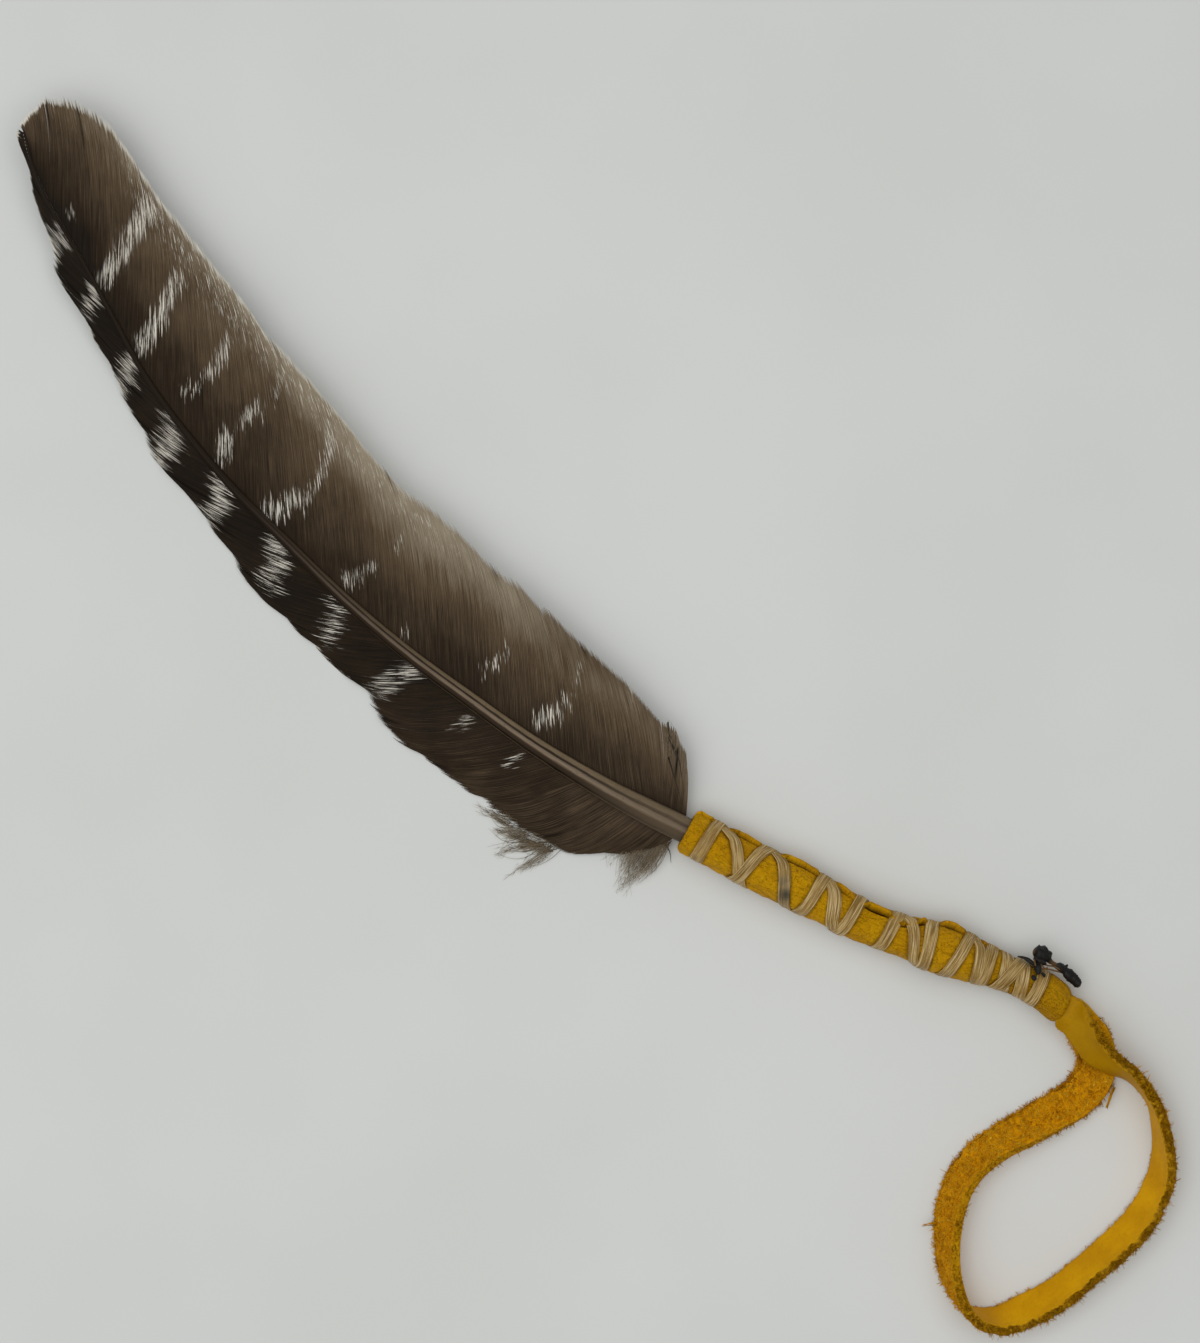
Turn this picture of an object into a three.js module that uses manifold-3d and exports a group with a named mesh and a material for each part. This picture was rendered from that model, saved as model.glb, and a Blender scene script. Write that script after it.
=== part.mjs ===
// A turkey wing feather with a leather grip, a sinew lacing and a wrist loop.
// Millimetres, +Z up. The feather lies on the plane z = 0 with its underside up.
// The origin is on that plane, under the middle of the grip, where two turns of
// the lacing cross. +X runs from the feather's tip towards the wrist loop, and
// +Y towards the broad vane.
import * as THREE from "three";
import { mergeVertices } from "three/addons/utils/BufferGeometryUtils.js";
import Module from "manifold-3d";

const wasm = await Module();
wasm.setup();

// ---- driving dimensions -------------------------------------------------

const GAP = 0.3; // clearance between pieces that touch

// The shaft: x, y, z of its centre line and half its width, from the tip to the
// end of the hollow quill inside the grip.
const SHAFT = [
  [-285, 17.3, 11.3, 0.3],
  [-277.8, 11.8, 10.4, 0.35],
  [-268.2, 6.7, 9.2, 0.4],
  [-253.6, 1.4, 7.5, 0.5],
  [-239, -4.4, 6.1, 0.6],
  [-224.3, -10.3, 4.9, 0.7],
  [-209.5, -14.3, 3.9, 0.8],
  [-189.7, -17.9, 3, 1],
  [-169.8, -19.8, 2.6, 1.25],
  [-149.8, -21.4, 2.6, 1.5],
  [-129.9, -21.6, 2.8, 1.7],
  [-109.9, -20.4, 3.3, 1.9],
  [-90, -18.8, 3.9, 2.2],
  [-70.1, -15.8, 4.8, 2.7],
  [-58.2, -13.3, 5.3, 3.1],
  [-48.3, -10.9, 5.6, 3.2],
  [-30.4, -7.2, 5.7, 3],
  [-10.5, -2.6, 5.7, 2.8],
  [0, 0, 5.8, 2.6],
  [21.3, 8.2, 5.9, 2.1],
];
const SHAFT_FLATTEN = 0.92; // height of the shaft over its width
const SHAFT_ARC = [152, 122, 90, 58, 28]; // degrees of the points across its top
const GROOVE = 0.22; // depth of the groove along the top, over the half width
const QUILL_SIDES = 12;
const QUILL_STEPS = 16;
const QUILL_ROOT = [-57.5, -49.3, -48.9]; // it starts in the shaft and swells to full size
const QUILL_ROOT_SIZE = 0.65; // its size in the shaft, over its full size

// The vanes. Each row is one barb: x where it leaves the shaft, then x, y, z of
// its tip on the vane's edge. Barbs between two rows follow from them.
const BROAD_VANE = [
  [-49.2, -54, -2.6, 6.6],
  [-51, -60.2, 4.6, 7.6],
  [-54, -66.8, 6.9, 9],
  [-57.5, -80, 7.8, 10.8],
  [-65, -91, 8.5, 12],
  [-80, -108.7, 9, 12.8],
  [-100, -130.4, 9.1, 13],
  [-119.9, -153.1, 9.7, 13],
  [-139.9, -176.7, 12.4, 13],
  [-159.8, -202.3, 16.7, 13],
  [-179.7, -221.1, 20.3, 13],
  [-199.6, -239.8, 24.3, 13],
  [-219.3, -255.6, 28.1, 13],
  [-239, -270.3, 31.6, 13],
  [-250.7, -278.2, 30.8, 13],
  [-260.4, -282.7, 28.4, 13],
  [-268.2, -285.1, 26, 13],
  [-275.9, -286.2, 20.9, 12.6],
  [-281.6, -286.5, 17.5, 12],
];
const NARROW_VANE = [
  [-49.7, -50.6, -27.7, 1.5],
  [-54.2, -60, -28.8, 1.2],
  [-61.2, -69, -35, 0.6],
  [-72.1, -84, -37.4, 0.3],
  [-85, -104, -38.7, 0.3],
  [-98, -120, -39.3, 0.3],
  [-111.9, -133, -35.5, 0.3],
  [-127.9, -151, -34.7, 0.3],
  [-139.9, -169, -33.9, 0.3],
  [-151.8, -182, -30.1, 0.3],
  [-164.8, -195, -26.9, 0.3],
  [-179.7, -210, -24.9, 0.3],
  [-194.6, -222.8, -19.2, 1.2],
  [-209.5, -236.6, -12.6, 2.6],
  [-224.3, -248.3, -8, 4],
  [-239, -259.9, -2.4, 5.6],
  [-253.6, -271.5, 4.7, 7.6],
  [-266.2, -279, 10.8, 9.2],
  [-277.8, -284.2, 13.9, 10.4],
  [-283.6, -285.5, 16, 11.2],
];
const VANE_THICK = 0.6;
const VANE_ENDS = [-49.4, -282.8]; // x of the first and the last barb at the shaft
const BARBS = 42; // ridges modelled in each vane, each standing for a few barbs
const BARB_STEPS = 4; // points along one ridge
const BARB_CROWDING = 0.6; // how much closer the ridges are at the vane's two ends
const RIDGE = 0.13; // how far every other ridge stands up
const RAGGED = 0.02; // how far every other ridge stops short of the edge, over its length
const VANE_BOW = 0.07; // a barb's bow, over its length
const EDGE_LIFT = 1.35; // how late along its length a barb rises: 1 is evenly

// Loose downy locks at the foot of the narrow vane: x, y, z of foot and tip.
const DOWN_LOCKS = [
  [-69, -33, 1.3, -83.5, -39.6, 0.5],
  [-66, -32.4, 1, -79, -44.2, 0.5],
  [-63, -30.5, 1.6, -73.3, -47.6, 0.5],
  [-52.4, -23, 1.9, -50.6, -33.2, 0.8],
  [-50.9, -18.6, 2.9, -48.2, -29.8, 0.8],
];
const LOCK_WIDTH = 2.6;
const LOCK_THICK = 1.2;
const LOCK_STEPS = 3;

// The grip: x, y of its axis and its radius. It swells at x = 20 over the end
// of the quill and narrows under the last turns of the lacing.
const GRIP = [
  [-47.5, -10.7, 5.2],
  [-38, -8.8, 5.1],
  [-28, -6.6, 5.3],
  [-18, -4.1, 5.4],
  [-8, -1.9, 5.1],
  [0, 0, 5],
  [6, 2, 4.8],
  [13, 4.8, 5.3],
  [20, 7.5, 6],
  [27, 9.8, 5.3],
  [33, 12.2, 4.5],
  [40, 14.5, 4.3],
  [46, 15.9, 4.7],
  [52.8, 16, 4.8],
];
const GRIP_LEAN = 0.2; // its ends are cut square to an axis with this slope
const GRIP_TUCK = 0.2; // how far its back end rounds in, over the radius
const GRIP_ROUND = 3; // length of that rounded end
const GRIP_LIP = 1; // length over which the front end rolls in
const GRIP_LIP_TUCK = 0.12; // how far the front end rolls in, over the radius
const GRIP_SINK = 0.955; // height of the axis over the radius: under 1 it has a flat foot
const SEAM_ANGLE = 52; // degrees up from the +Y side, where the overlap of the hide ends
const SEAM_STEP = 0.6; // thickness of the overlapping edge
const SEAM_WIDTH = 4; // degrees over which that edge drops
const SEAM_FADE = 95; // degrees over which the overlap melts into the wrap
const SEAM_END = [28, 37]; // the overlap thins out to nothing between these x
const GRIP_SIDES = 18;
const GRIP_STEPS = 17;

// The wrist loop: a strip of hide. x, y, z of its middle, and its roll in
// degrees: 0 has the smooth side up, 90 has it facing into the loop, and 180
// has the rough side up.
const STRAP_WIDTH = 9;
const STRAP_THICK = 2;
const STRAP_TAIL = 5; // width of its two ends, which sit in the grip
const STRAP_TAIL_LENGTH = 11.5;
const STRAP_SHOULDER = 6; // length over which the tail widens to the full strap
const POCKET_FROM = 41; // where the pocket for the two ends starts
const LOOP = [
  [42.5, 15.3, 6.5, 0],
  [48, 15.9, 6.5, 0],
  [53.4, 15.7, 6.5, 2],
  [56.5, 15.1, 6.9, 34],
  [60.5, 13.9, 7.6, 46],
  [66, 12.5, 7.5, 53],
  [72, 13, 7.3, 66],
  [76.3, 13.6, 6.1, 78],
  [80.5, 13.3, 5, 84],
  [85.5, 11.8, 4.7, 86],
  [90, 8.6, 4.6, 81],
  [94.9, 3.9, 4.6, 72],
  [98.9, -2.6, 4.5, 60],
  [101, -13, 4.3, 53],
  [100.3, -22, 4.2, 52],
  [98.8, -31, 4.3, 54],
  [97.2, -39.5, 4.1, 50],
  [94, -47.6, 4.1, 50],
  [89.8, -54.4, 4.4, 64],
  [83.3, -57.2, 4.7, 88],
  [75.8, -54.6, 4.7, 104],
  [68.9, -48.6, 4.6, 112],
  [63.4, -40.6, 4.3, 122],
  [60.6, -32, 4.1, 126],
  [61.4, -23, 3.8, 132],
  [65, -13.5, 3, 144],
  [68.6, -4.5, 1.9, 160],
  [70.6, 3, 1.2, 174],
  [69.6, 9.4, 1.1, 179],
  [65.4, 13.7, 1.1, 180],
  [60, 15.4, 1.9, 180],
  [56.5, 15.8, 3.1, 180],
  [53.4, 15.8, 4.1, 180],
  [48, 15.9, 4.2, 180],
  [42.5, 15.3, 4.2, 180],
];
const LOOP_STEPS = 74;

// The lacing: a flat strand that winds down the grip and back, crossing itself.
// Each row is a point of the strand: x along the grip and the turns made.
const STRAND_WIDTH = 2.9;
const STRAND_THICK = 0.5;
const STRAND_LIFT = 0.34; // clearance over the hide
const STRAND_CROSS = 0.12; // how much higher the strand's way back lies
const TURN_STEPS = 14;
const STRAND_LAP = 0.5; // how far a half turn starts inside the one before, in steps
const STRAND_LAP_SIZE = 0.6; // and its size there, over its full size
const STRAND_OUT = [
  [-41.5, -0.25],
  [-41.4, 0],
  [-28.2, 0.5],
  [-26.8, 1],
  [-17.2, 1.5],
  [-13.2, 2],
  [-3.2, 2.5],
  [8.2, 3],
  [17.2, 3.5],
  [24.8, 4],
  [32.4, 4.5],
  [33.8, 5],
  [38.4, 5.5],
  [38, 6],
  [42.6, 6.5],
  [40.4, 7.05],
];
const STRAND_BACK = [
  [-41.6, 0.75],
  [-41.5, 0.5],
  [-41.2, 0],
  [-31.4, -0.5],
  [-27.8, -1],
  [-13.6, -1.5],
  [-12.4, -2],
  [-2.6, -2.5],
  [-2.3, -3],
  [-0.5, -3.17],
  [0.5, -3.33],
  [7.2, -3.5],
  [7.8, -4],
  [18.4, -4.5],
  [15, -5],
  [24.2, -5.5],
  [24.6, -6],
  [32.6, -6.5],
  [30.4, -7],
  [36.2, -7.5],
  [38.4, -8],
  [45, -8.5],
  [43.6, -9],
];

// The two burnt ends of the lacing, melted together: x, y, z and radius, from
// the knot, along a thin thread, to the tail.
const BURNT = [
  [37.3, 21.7, 8.2, 0.5],
  [38, 22, 8, 1.5],
  [39.3, 22.6, 7.4, 2],
  [40.5, 22.8, 6.9, 1.7],
  [41.7, 22.6, 6.6, 0.8],
  [43.5, 22.7, 6.5, 0.55],
  [45.1, 23, 6.3, 1.1],
  [46.3, 23, 6.1, 1],
  [47.9, 23, 5.8, 1.2],
  [49.9, 22.9, 5.3, 1.4],
  [51.5, 22.5, 5, 1.1],
  [52.1, 22.3, 4.9, 0.4],
];
const BURNT_STEPS = 20;
const BURNT_SIDES = 8;

const COLOURS = {
  feather: 0x4a3f33,
  wrap: 0xc79212,
  loop: 0xb9850f,
  sinew: 0xb9a277,
  burnt: 0x1d1b1a,
};

// ---- helpers ------------------------------------------------------------

const { lerp, clamp, smoothstep, degToRad, radToDeg } = THREE.MathUtils;

// A smooth curve through rows [t, a, b, ...]: gives [a, b, ...] at any t.
function through(rows) {
  const sorted = [...rows].sort((p, q) => p[0] - q[0]);
  const last = sorted.length - 1;
  const slope = (i, k) => {
    const a = sorted[Math.max(i - 1, 0)];
    const b = sorted[Math.min(i + 1, last)];
    return (b[k] - a[k]) / (b[0] - a[0]);
  };
  return (t) => {
    let i = 0;
    while (i < last - 1 && sorted[i + 1][0] < t) i++;
    const [a, b] = [sorted[i], sorted[i + 1]];
    const span = b[0] - a[0];
    const u = clamp((t - a[0]) / span, 0, 1);
    return a.slice(1).map((value, n) => {
      const k = n + 1;
      const [m0, m1] = [slope(i, k) * span, slope(i + 1, k) * span];
      const d = b[k] - value;
      return value + u * (m0 + u * (3 * d - 2 * m0 - m1 + u * (m0 + m1 - 2 * d)));
    });
  };
}

// Evenly spread numbers from a to b, ends included.
function spread(a, b, steps) {
  return Array.from({ length: steps + 1 }, (_, i) => lerp(a, b, i / steps));
}

// Evenly spread angles round a circle, in radians.
function round(sides) {
  return spread(0, 2 * Math.PI, sides).slice(1);
}

// The horizontal direction to the left of a direction.
function leftOf(along) {
  return new THREE.Vector3(-along.y, along.x, 0).normalize();
}

// A closed body from rings of an even number of points. Each end is capped with
// a ladder between the ring's first half and its second.
function loft(rings) {
  const n = rings[0].length;
  const positions = rings.flat().flatMap((p) => [p.x, p.y, p.z]);
  const faces = [];
  const quad = (a, b, c, d) => faces.push(a, b, c, a, c, d);
  for (let i = 0; i < rings.length - 1; i++) {
    for (let j = 0; j < n; j++) {
      const [a, b] = [i * n + j, i * n + ((j + 1) % n)];
      quad(a, b, b + n, a + n);
    }
  }
  const last = (rings.length - 1) * n;
  for (let j = 0; j < n / 2 - 1; j++) {
    const [a, b, c, d] = [j, j + 1, n - 2 - j, n - 1 - j];
    quad(d, c, b, a);
    quad(last + a, last + b, last + c, last + d);
  }
  const geometry = new THREE.BufferGeometry();
  geometry.setAttribute("position", new THREE.Float32BufferAttribute(positions, 3));
  geometry.setIndex(faces);
  return geometry;
}

// The solid of a closed geometry, with its faces turned outwards.
function solid(geometry) {
  geometry.deleteAttribute("normal");
  geometry.deleteAttribute("uv");
  const merged = mergeVertices(geometry, 1e-4);
  const bodyOf = (triVerts) => {
    const vertProperties = merged.attributes.position.array;
    return new wasm.Manifold(new wasm.Mesh({ numProp: 3, vertProperties, triVerts }));
  };
  const faces = new Uint32Array(merged.index.array);
  const body = bodyOf(faces);
  return body.volume() > 0 ? body : bodyOf(faces.slice().reverse());
}

function join(solids) {
  return solids.reduce((whole, piece) => whole.add(piece));
}

function mesh(name, shape, colour, roughness) {
  const { vertProperties, triVerts, numProp } = shape.getMesh();
  const positions = [];
  for (let i = 0; i < vertProperties.length; i += numProp) {
    positions.push(vertProperties[i], vertProperties[i + 1], vertProperties[i + 2]);
  }
  const geometry = new THREE.BufferGeometry();
  geometry.setAttribute("position", new THREE.Float32BufferAttribute(positions, 3));
  geometry.setIndex([...triVerts]);
  geometry.computeVertexNormals();
  const material = new THREE.MeshStandardMaterial({ color: colour, roughness, metalness: 0 });
  const made = new THREE.Mesh(geometry, material);
  made.name = name;
  return made;
}

// ---- feather ------------------------------------------------------------

const shaftAt = through(SHAFT);

function shaftPoint(x) {
  const [y, z] = shaftAt(x);
  return new THREE.Vector3(x, y, z);
}

// The shaft at x: its centre, its left, its own up and half its width.
function shaftFrame(x) {
  const along = shaftPoint(x + 1).sub(shaftPoint(x - 1)).normalize();
  const left = leftOf(along);
  const up = new THREE.Vector3().crossVectors(along, left);
  return { centre: shaftPoint(x), left, up, half: shaftAt(x)[2] };
}

// A point of the shaft's section: wider than high.
function shaftSection({ centre, left, up }, half, angle, dip = 0) {
  const height = half * (SHAFT_FLATTEN * Math.sin(angle) - dip);
  const p = centre.clone().addScaledVector(left, -half * Math.cos(angle));
  return p.addScaledVector(up, height);
}

// A ring round the hollow quill.
function quillRing(x, grow = 0, size = 1) {
  const frame = shaftFrame(x);
  const half = frame.half * size + grow;
  return round(QUILL_SIDES).map((angle) => shaftSection(frame, half, angle));
}

function quill() {
  const [from, swell, full] = QUILL_ROOT;
  const rings = [from, swell].map((x) => quillRing(x, 0, QUILL_ROOT_SIZE));
  const stations = spread(full, SHAFT.at(-1)[0], QUILL_STEPS);
  return solid(loft([...rings, ...stations.map((x) => quillRing(x))]));
}

// The middle line of the barb that leaves the shaft at rootX, from the shaft's
// side to the vane's edge. away is 1 for the broad vane and -1 for the other.
function barbLine(tipAt, rootX, away, reach) {
  const { centre, left, half } = shaftFrame(rootX);
  const root = centre.addScaledVector(left, away * half);
  root.z -= 0.2 * half;
  const tip = new THREE.Vector3(...tipAt(rootX));
  const run = tip.clone().sub(root);
  const across = leftOf(run).multiplyScalar(-away * VANE_BOW * run.length());
  return spread(0, reach, BARB_STEPS).map((q) => {
    const p = root.clone().addScaledVector(run, q);
    p.addScaledVector(across, Math.sin(Math.PI * q));
    p.z = Math.max(root.z + run.z * q ** EDGE_LIFT, VANE_THICK / 2);
    return p;
  });
}

const broadTipAt = through(BROAD_VANE);
const narrowTipAt = through(NARROW_VANE);

// One ring across the whole feather: a barb, the shaft and the barb on its other
// side, over the top and back underneath.
function featherRing(rootX, odd) {
  const reach = 1 - odd * RAGGED;
  const broad = barbLine(broadTipAt, rootX, 1, reach).reverse();
  const narrow = barbLine(narrowTipAt, rootX, -1, reach);
  const frame = shaftFrame(rootX);
  const arc = (sign) =>
    SHAFT_ARC.map((degrees) => {
      const dip = sign > 0 && degrees === 90 ? GROOVE : 0;
      return shaftSection(frame, frame.half, sign * degToRad(degrees), dip);
    });
  const lifted = (line, height) =>
    line.map((p) => new THREE.Vector3(p.x, p.y, p.z + height));
  const [high, low] = [VANE_THICK / 2 + odd * RIDGE, odd * RIDGE - VANE_THICK / 2];
  const top = [...lifted(broad, high), ...arc(1), ...lifted(narrow, high)];
  const under = [...lifted(broad, low), ...arc(-1), ...lifted(narrow, low)];
  return [...top, ...under.reverse()];
}

// The two vanes and the shaft between them.
function blade() {
  const rings = spread(0, 1, BARBS).map((u, i) => {
    const crowded = lerp(u, smoothstep(u, 0, 1), BARB_CROWDING);
    return featherRing(lerp(...VANE_ENDS, crowded), i % 2);
  });
  return solid(loft(rings));
}

// A downy lock: a thin blade that runs out to a point.
function lock([x0, y0, z0, x1, y1, z1]) {
  const foot = new THREE.Vector3(x0, y0, z0);
  const run = new THREE.Vector3(x1, y1, z1).sub(foot);
  const side = leftOf(run);
  const rings = spread(0, 1, LOCK_STEPS).map((q) => {
    const wide = lerp(LOCK_WIDTH, LOCK_THICK, q) / 2;
    const thick = lerp(LOCK_THICK, LOCK_THICK / 2, q) / 2;
    return [
      [wide, thick],
      [-wide, thick],
      [-wide, -thick],
      [wide, -thick],
    ].map(([w, h]) => {
      const p = foot.clone().addScaledVector(run, q).addScaledVector(side, w);
      p.z = Math.max(p.z + h, 0);
      return p;
    });
  });
  return solid(loft(rings));
}

function feather() {
  return join([blade(), quill(), ...DOWN_LOCKS.map(lock)]);
}

// ---- grip ---------------------------------------------------------------

const gripAt = through(GRIP);
const gripFrom = GRIP[0][0];
const gripTo = GRIP.at(-1)[0];
const strandTop = STRAND_LIFT + STRAND_CROSS + STRAND_THICK;

// The height of the grip's axis. The lacing under the grip stands on z = 0.
function gripHeight(x) {
  return gripAt(x)[1] * GRIP_SINK + strandTop;
}

// How far the hide's overlap stands out at an angle. A taut strand bridges the
// drop past the overlapping edge.
function overlapAt(x, angle, taut) {
  const under = (((SEAM_ANGLE - angle) % 360) + 360) % 360;
  const past = 360 - under;
  const held = taut ? 1 - smoothstep(past, 12, 45) : 0;
  const laid = under < SEAM_FADE ? 1 - smoothstep(under, 0, SEAM_FADE) : 0;
  return SEAM_STEP * Math.max(held, laid) * (1 - smoothstep(x, ...SEAM_END));
}

// A point over the grip's surface: x along it, the angle up from the +Y side in
// degrees, and the height over the hide.
function gripPoint(x, angle, over = 0) {
  const [y, radius] = gripAt(x);
  const lip = 1 - GRIP_LIP_TUCK * (1 - smoothstep(x - gripFrom, 0, GRIP_LIP));
  const past = clamp((x - gripTo + GRIP_ROUND) / GRIP_ROUND, 0, 1);
  const tuck = 1 - GRIP_TUCK * past ** 2;
  const reach = radius * lip * tuck + overlapAt(x, angle, over > 0) + over;
  const across = reach * Math.cos(degToRad(angle));
  const height = gripHeight(x) + reach * Math.sin(degToRad(angle));
  const foot = strandTop - over;
  return new THREE.Vector3(x - GRIP_LEAN * across, y + across, Math.max(height, foot));
}

// The x along the grip and the angle at which a point near it lies.
function placeOnGrip(p) {
  let x = p.x;
  for (let i = 0; i < 4; i++) x = p.x + GRIP_LEAN * (p.y - gripAt(x)[0]);
  const angle = Math.atan2(p.z - gripHeight(x), p.y - gripAt(x)[0]);
  return [x, radToDeg(angle)];
}

function gripBody() {
  const angles = round(GRIP_SIDES).map(radToDeg);
  angles.push(SEAM_ANGLE, SEAM_ANGLE + SEAM_WIDTH);
  angles.sort((a, b) => a - b);
  const stations = spread(gripFrom + GRIP_LIP, gripTo - GRIP_ROUND, GRIP_STEPS);
  const ends = [gripTo - GRIP_ROUND / 2, gripTo - GRIP_ROUND / 6, gripTo];
  const rings = [gripFrom, ...stations, ...ends].map((x) =>
    angles.map((angle) => gripPoint(x, angle)),
  );
  return solid(loft(rings));
}

// The hollow round the quill, open at the front end of the grip.
function quillBore() {
  const from = gripFrom - 3;
  const to = SHAFT.at(-1)[0];
  const rings = spread(from, to, QUILL_STEPS).map((x) => quillRing(x, GAP));
  rings.push(rings.at(-1).map((p) => new THREE.Vector3(p.x + GAP, p.y, p.z)));
  return solid(loft(rings));
}

// The pocket that holds the strap's two ends, open at the back end of the grip.
function strapPocket() {
  const half = STRAP_TAIL / 2 + GAP;
  const floor = LOOP.at(-1)[2] - STRAP_THICK / 2 - GAP;
  const roof = LOOP[0][2] + STRAP_THICK / 2 + GAP;
  const rings = spread(POCKET_FROM, gripTo + 2, 8).map((x) => {
    const t = clamp((x - LOOP[0][0]) / (LOOP[2][0] - LOOP[0][0]), 0, 1);
    const y = loopCurve.getPoint((2 * t) / (LOOP.length - 1)).y;
    return [
      [half, floor],
      [half, roof],
      [-half, roof],
      [-half, floor],
    ].map(([w, z]) => new THREE.Vector3(x, y + w, z));
  });
  return solid(loft(rings));
}

function leatherWrap() {
  return gripBody().subtract(quillBore()).subtract(strapPocket());
}

// ---- wrist loop ---------------------------------------------------------

const loopCurve = new THREE.CatmullRomCurve3(
  LOOP.map(([x, y, z]) => new THREE.Vector3(x, y, z)),
);
const loopRun = loopCurve.getLengths(LOOP_STEPS);
const rollAt = through(LOOP.map((row, i) => [i / (LOOP.length - 1), row[3]]));

// The strap's section at one of its steps.
function strapRing(step) {
  const t = step / LOOP_STEPS;
  const along = loopCurve.getTangent(t);
  const left = leftOf(along);
  const up = new THREE.Vector3().crossVectors(along, left).normalize();
  const roll = degToRad(rollAt(t)[0]);
  const wide = left.multiplyScalar(Math.cos(roll)).addScaledVector(up, Math.sin(roll));
  const thin = new THREE.Vector3().crossVectors(along, wide).normalize();
  const toEnd = Math.min(loopRun[step], loopRun.at(-1) - loopRun[step]);
  const shoulder = STRAP_TAIL_LENGTH + STRAP_SHOULDER;
  const full = smoothstep(toEnd, STRAP_TAIL_LENGTH, shoulder);
  const half = lerp(STRAP_TAIL, STRAP_WIDTH, full) / 2;
  return [
    [half, 1],
    [half, -1],
    [-half, -1],
    [-half, 1],
  ].map(([w, h]) => {
    const p = loopCurve.getPoint(t).addScaledVector(wide, w);
    p.addScaledVector(thin, (h * STRAP_THICK) / 2);
    p.z = Math.max(p.z, 0);
    return p;
  });
}

function leatherLoop() {
  return solid(loft(loopRun.map((_, step) => strapRing(step))));
}

// ---- lacing -------------------------------------------------------------

// One ring of a strand: its flat section, lying on the grip.
function strandRing(pathAt, turn, lift) {
  const at = (t, over) => gripPoint(pathAt(t)[0], t * 360, over);
  const along = at(turn + 0.01, lift).sub(at(turn - 0.01, lift));
  const out = at(turn, lift + 1).sub(at(turn, lift));
  const wide = new THREE.Vector3().crossVectors(along, out).normalize();
  const edge = (side) => {
    const p = at(turn, lift).addScaledVector(wide, (side * STRAND_WIDTH) / 2);
    return placeOnGrip(p);
  };
  const [a, b] = [edge(1), edge(-1)];
  return [
    gripPoint(...a, lift),
    gripPoint(...b, lift),
    gripPoint(...b, lift + STRAND_THICK),
    gripPoint(...a, lift + STRAND_THICK),
  ];
}

// A ring made smaller about its middle.
function shrunk(ring, size) {
  const middle = new THREE.Vector3();
  ring.forEach((p) => middle.addScaledVector(p, 1 / ring.length));
  return ring.map((p) => middle.clone().lerp(p, size));
}

// A flat strand wound on the grip through rows [x, turns], joined from half
// turns, because it crosses over itself. Each starts inside the one before.
function strand(rows, lift) {
  const pathAt = through(rows.map(([x, turns]) => [turns, x]));
  const turns = rows.map((row) => Math.round(row[1] * TURN_STEPS));
  const [from, to] = [Math.min(...turns), Math.max(...turns)];
  const pieces = [];
  for (let start = from; start < to; start += TURN_STEPS / 2) {
    const stop = Math.min(start + TURN_STEPS / 2, to);
    const steps = spread(start, stop, stop - start);
    const rings = steps.map((step) => strandRing(pathAt, step / TURN_STEPS, lift));
    if (start > from) {
      const before = strandRing(pathAt, (start - STRAND_LAP) / TURN_STEPS, lift);
      rings.unshift(shrunk(before, STRAND_LAP_SIZE));
    }
    pieces.push(solid(loft(rings)));
  }
  return join(pieces);
}

function sinewLacing() {
  const out = strand(STRAND_OUT, STRAND_LIFT);
  return out.add(strand(STRAND_BACK, STRAND_LIFT + STRAND_CROSS));
}

// ---- burnt ends ---------------------------------------------------------

function burntEnds() {
  const at = through(BURNT);
  const rings = spread(BURNT[0][0], BURNT.at(-1)[0], BURNT_STEPS).map((x) => {
    const [y, z, radius] = at(x);
    return round(BURNT_SIDES).map((angle) => {
      const [across, height] = [Math.cos(angle) * radius, Math.sin(angle) * radius];
      return new THREE.Vector3(x, y + across, z + height);
    });
  });
  return solid(loft(rings));
}

// ---- assembly -----------------------------------------------------------

const group = new THREE.Group();
group.add(mesh("feather", feather(), COLOURS.feather, 0.6));
group.add(mesh("leather_wrap", leatherWrap(), COLOURS.wrap, 0.7));
group.add(mesh("sinew_lacing", sinewLacing(), COLOURS.sinew, 0.5));
group.add(mesh("burnt_ends", burntEnds(), COLOURS.burnt, 0.4));
group.add(mesh("leather_loop", leatherLoop(), COLOURS.loop, 0.8));

export default group;
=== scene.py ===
# A turkey wing feather with a leather grip, a sinew lacing and a wrist loop, lying
# on a pale sheet. The tables are in millimetres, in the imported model's frame: +X runs
# from the feather's tip towards the wrist loop, +Y towards the broad vane.
import math
import random

import bpy
import numpy as np
from mathutils import Matrix, Vector, kdtree, noise


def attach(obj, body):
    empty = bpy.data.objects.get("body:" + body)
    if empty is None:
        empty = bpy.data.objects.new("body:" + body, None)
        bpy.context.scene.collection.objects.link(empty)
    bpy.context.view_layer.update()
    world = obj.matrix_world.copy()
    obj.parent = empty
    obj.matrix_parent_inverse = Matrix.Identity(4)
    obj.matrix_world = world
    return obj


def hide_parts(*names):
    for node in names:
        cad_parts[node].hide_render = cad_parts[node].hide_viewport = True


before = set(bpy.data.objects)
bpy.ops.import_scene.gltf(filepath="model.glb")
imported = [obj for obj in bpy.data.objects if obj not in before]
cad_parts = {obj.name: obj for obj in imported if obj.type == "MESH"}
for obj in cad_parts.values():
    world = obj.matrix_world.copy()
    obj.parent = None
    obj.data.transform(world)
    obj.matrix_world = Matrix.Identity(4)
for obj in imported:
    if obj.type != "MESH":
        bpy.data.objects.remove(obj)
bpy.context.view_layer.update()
SEED = 7
random.seed(SEED)
rng = np.random.default_rng(SEED)

MM = 0.001
NOISE_REACH = 1.8  # brings the library's noise to between about -1 and 1

# ---- camera --------------------------------------------------------------------

CAMERA_AT = (-89.5, 5.8, 900.0)
CAMERA_TURN = 40  # degrees that the feather lies turned in the view
CAMERA_LENS = 96.5
MARK_SHIFT = 1.1  # marks seen from above are measured from a line this far below y = 0

# ---- feather -------------------------------------------------------------------

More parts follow.
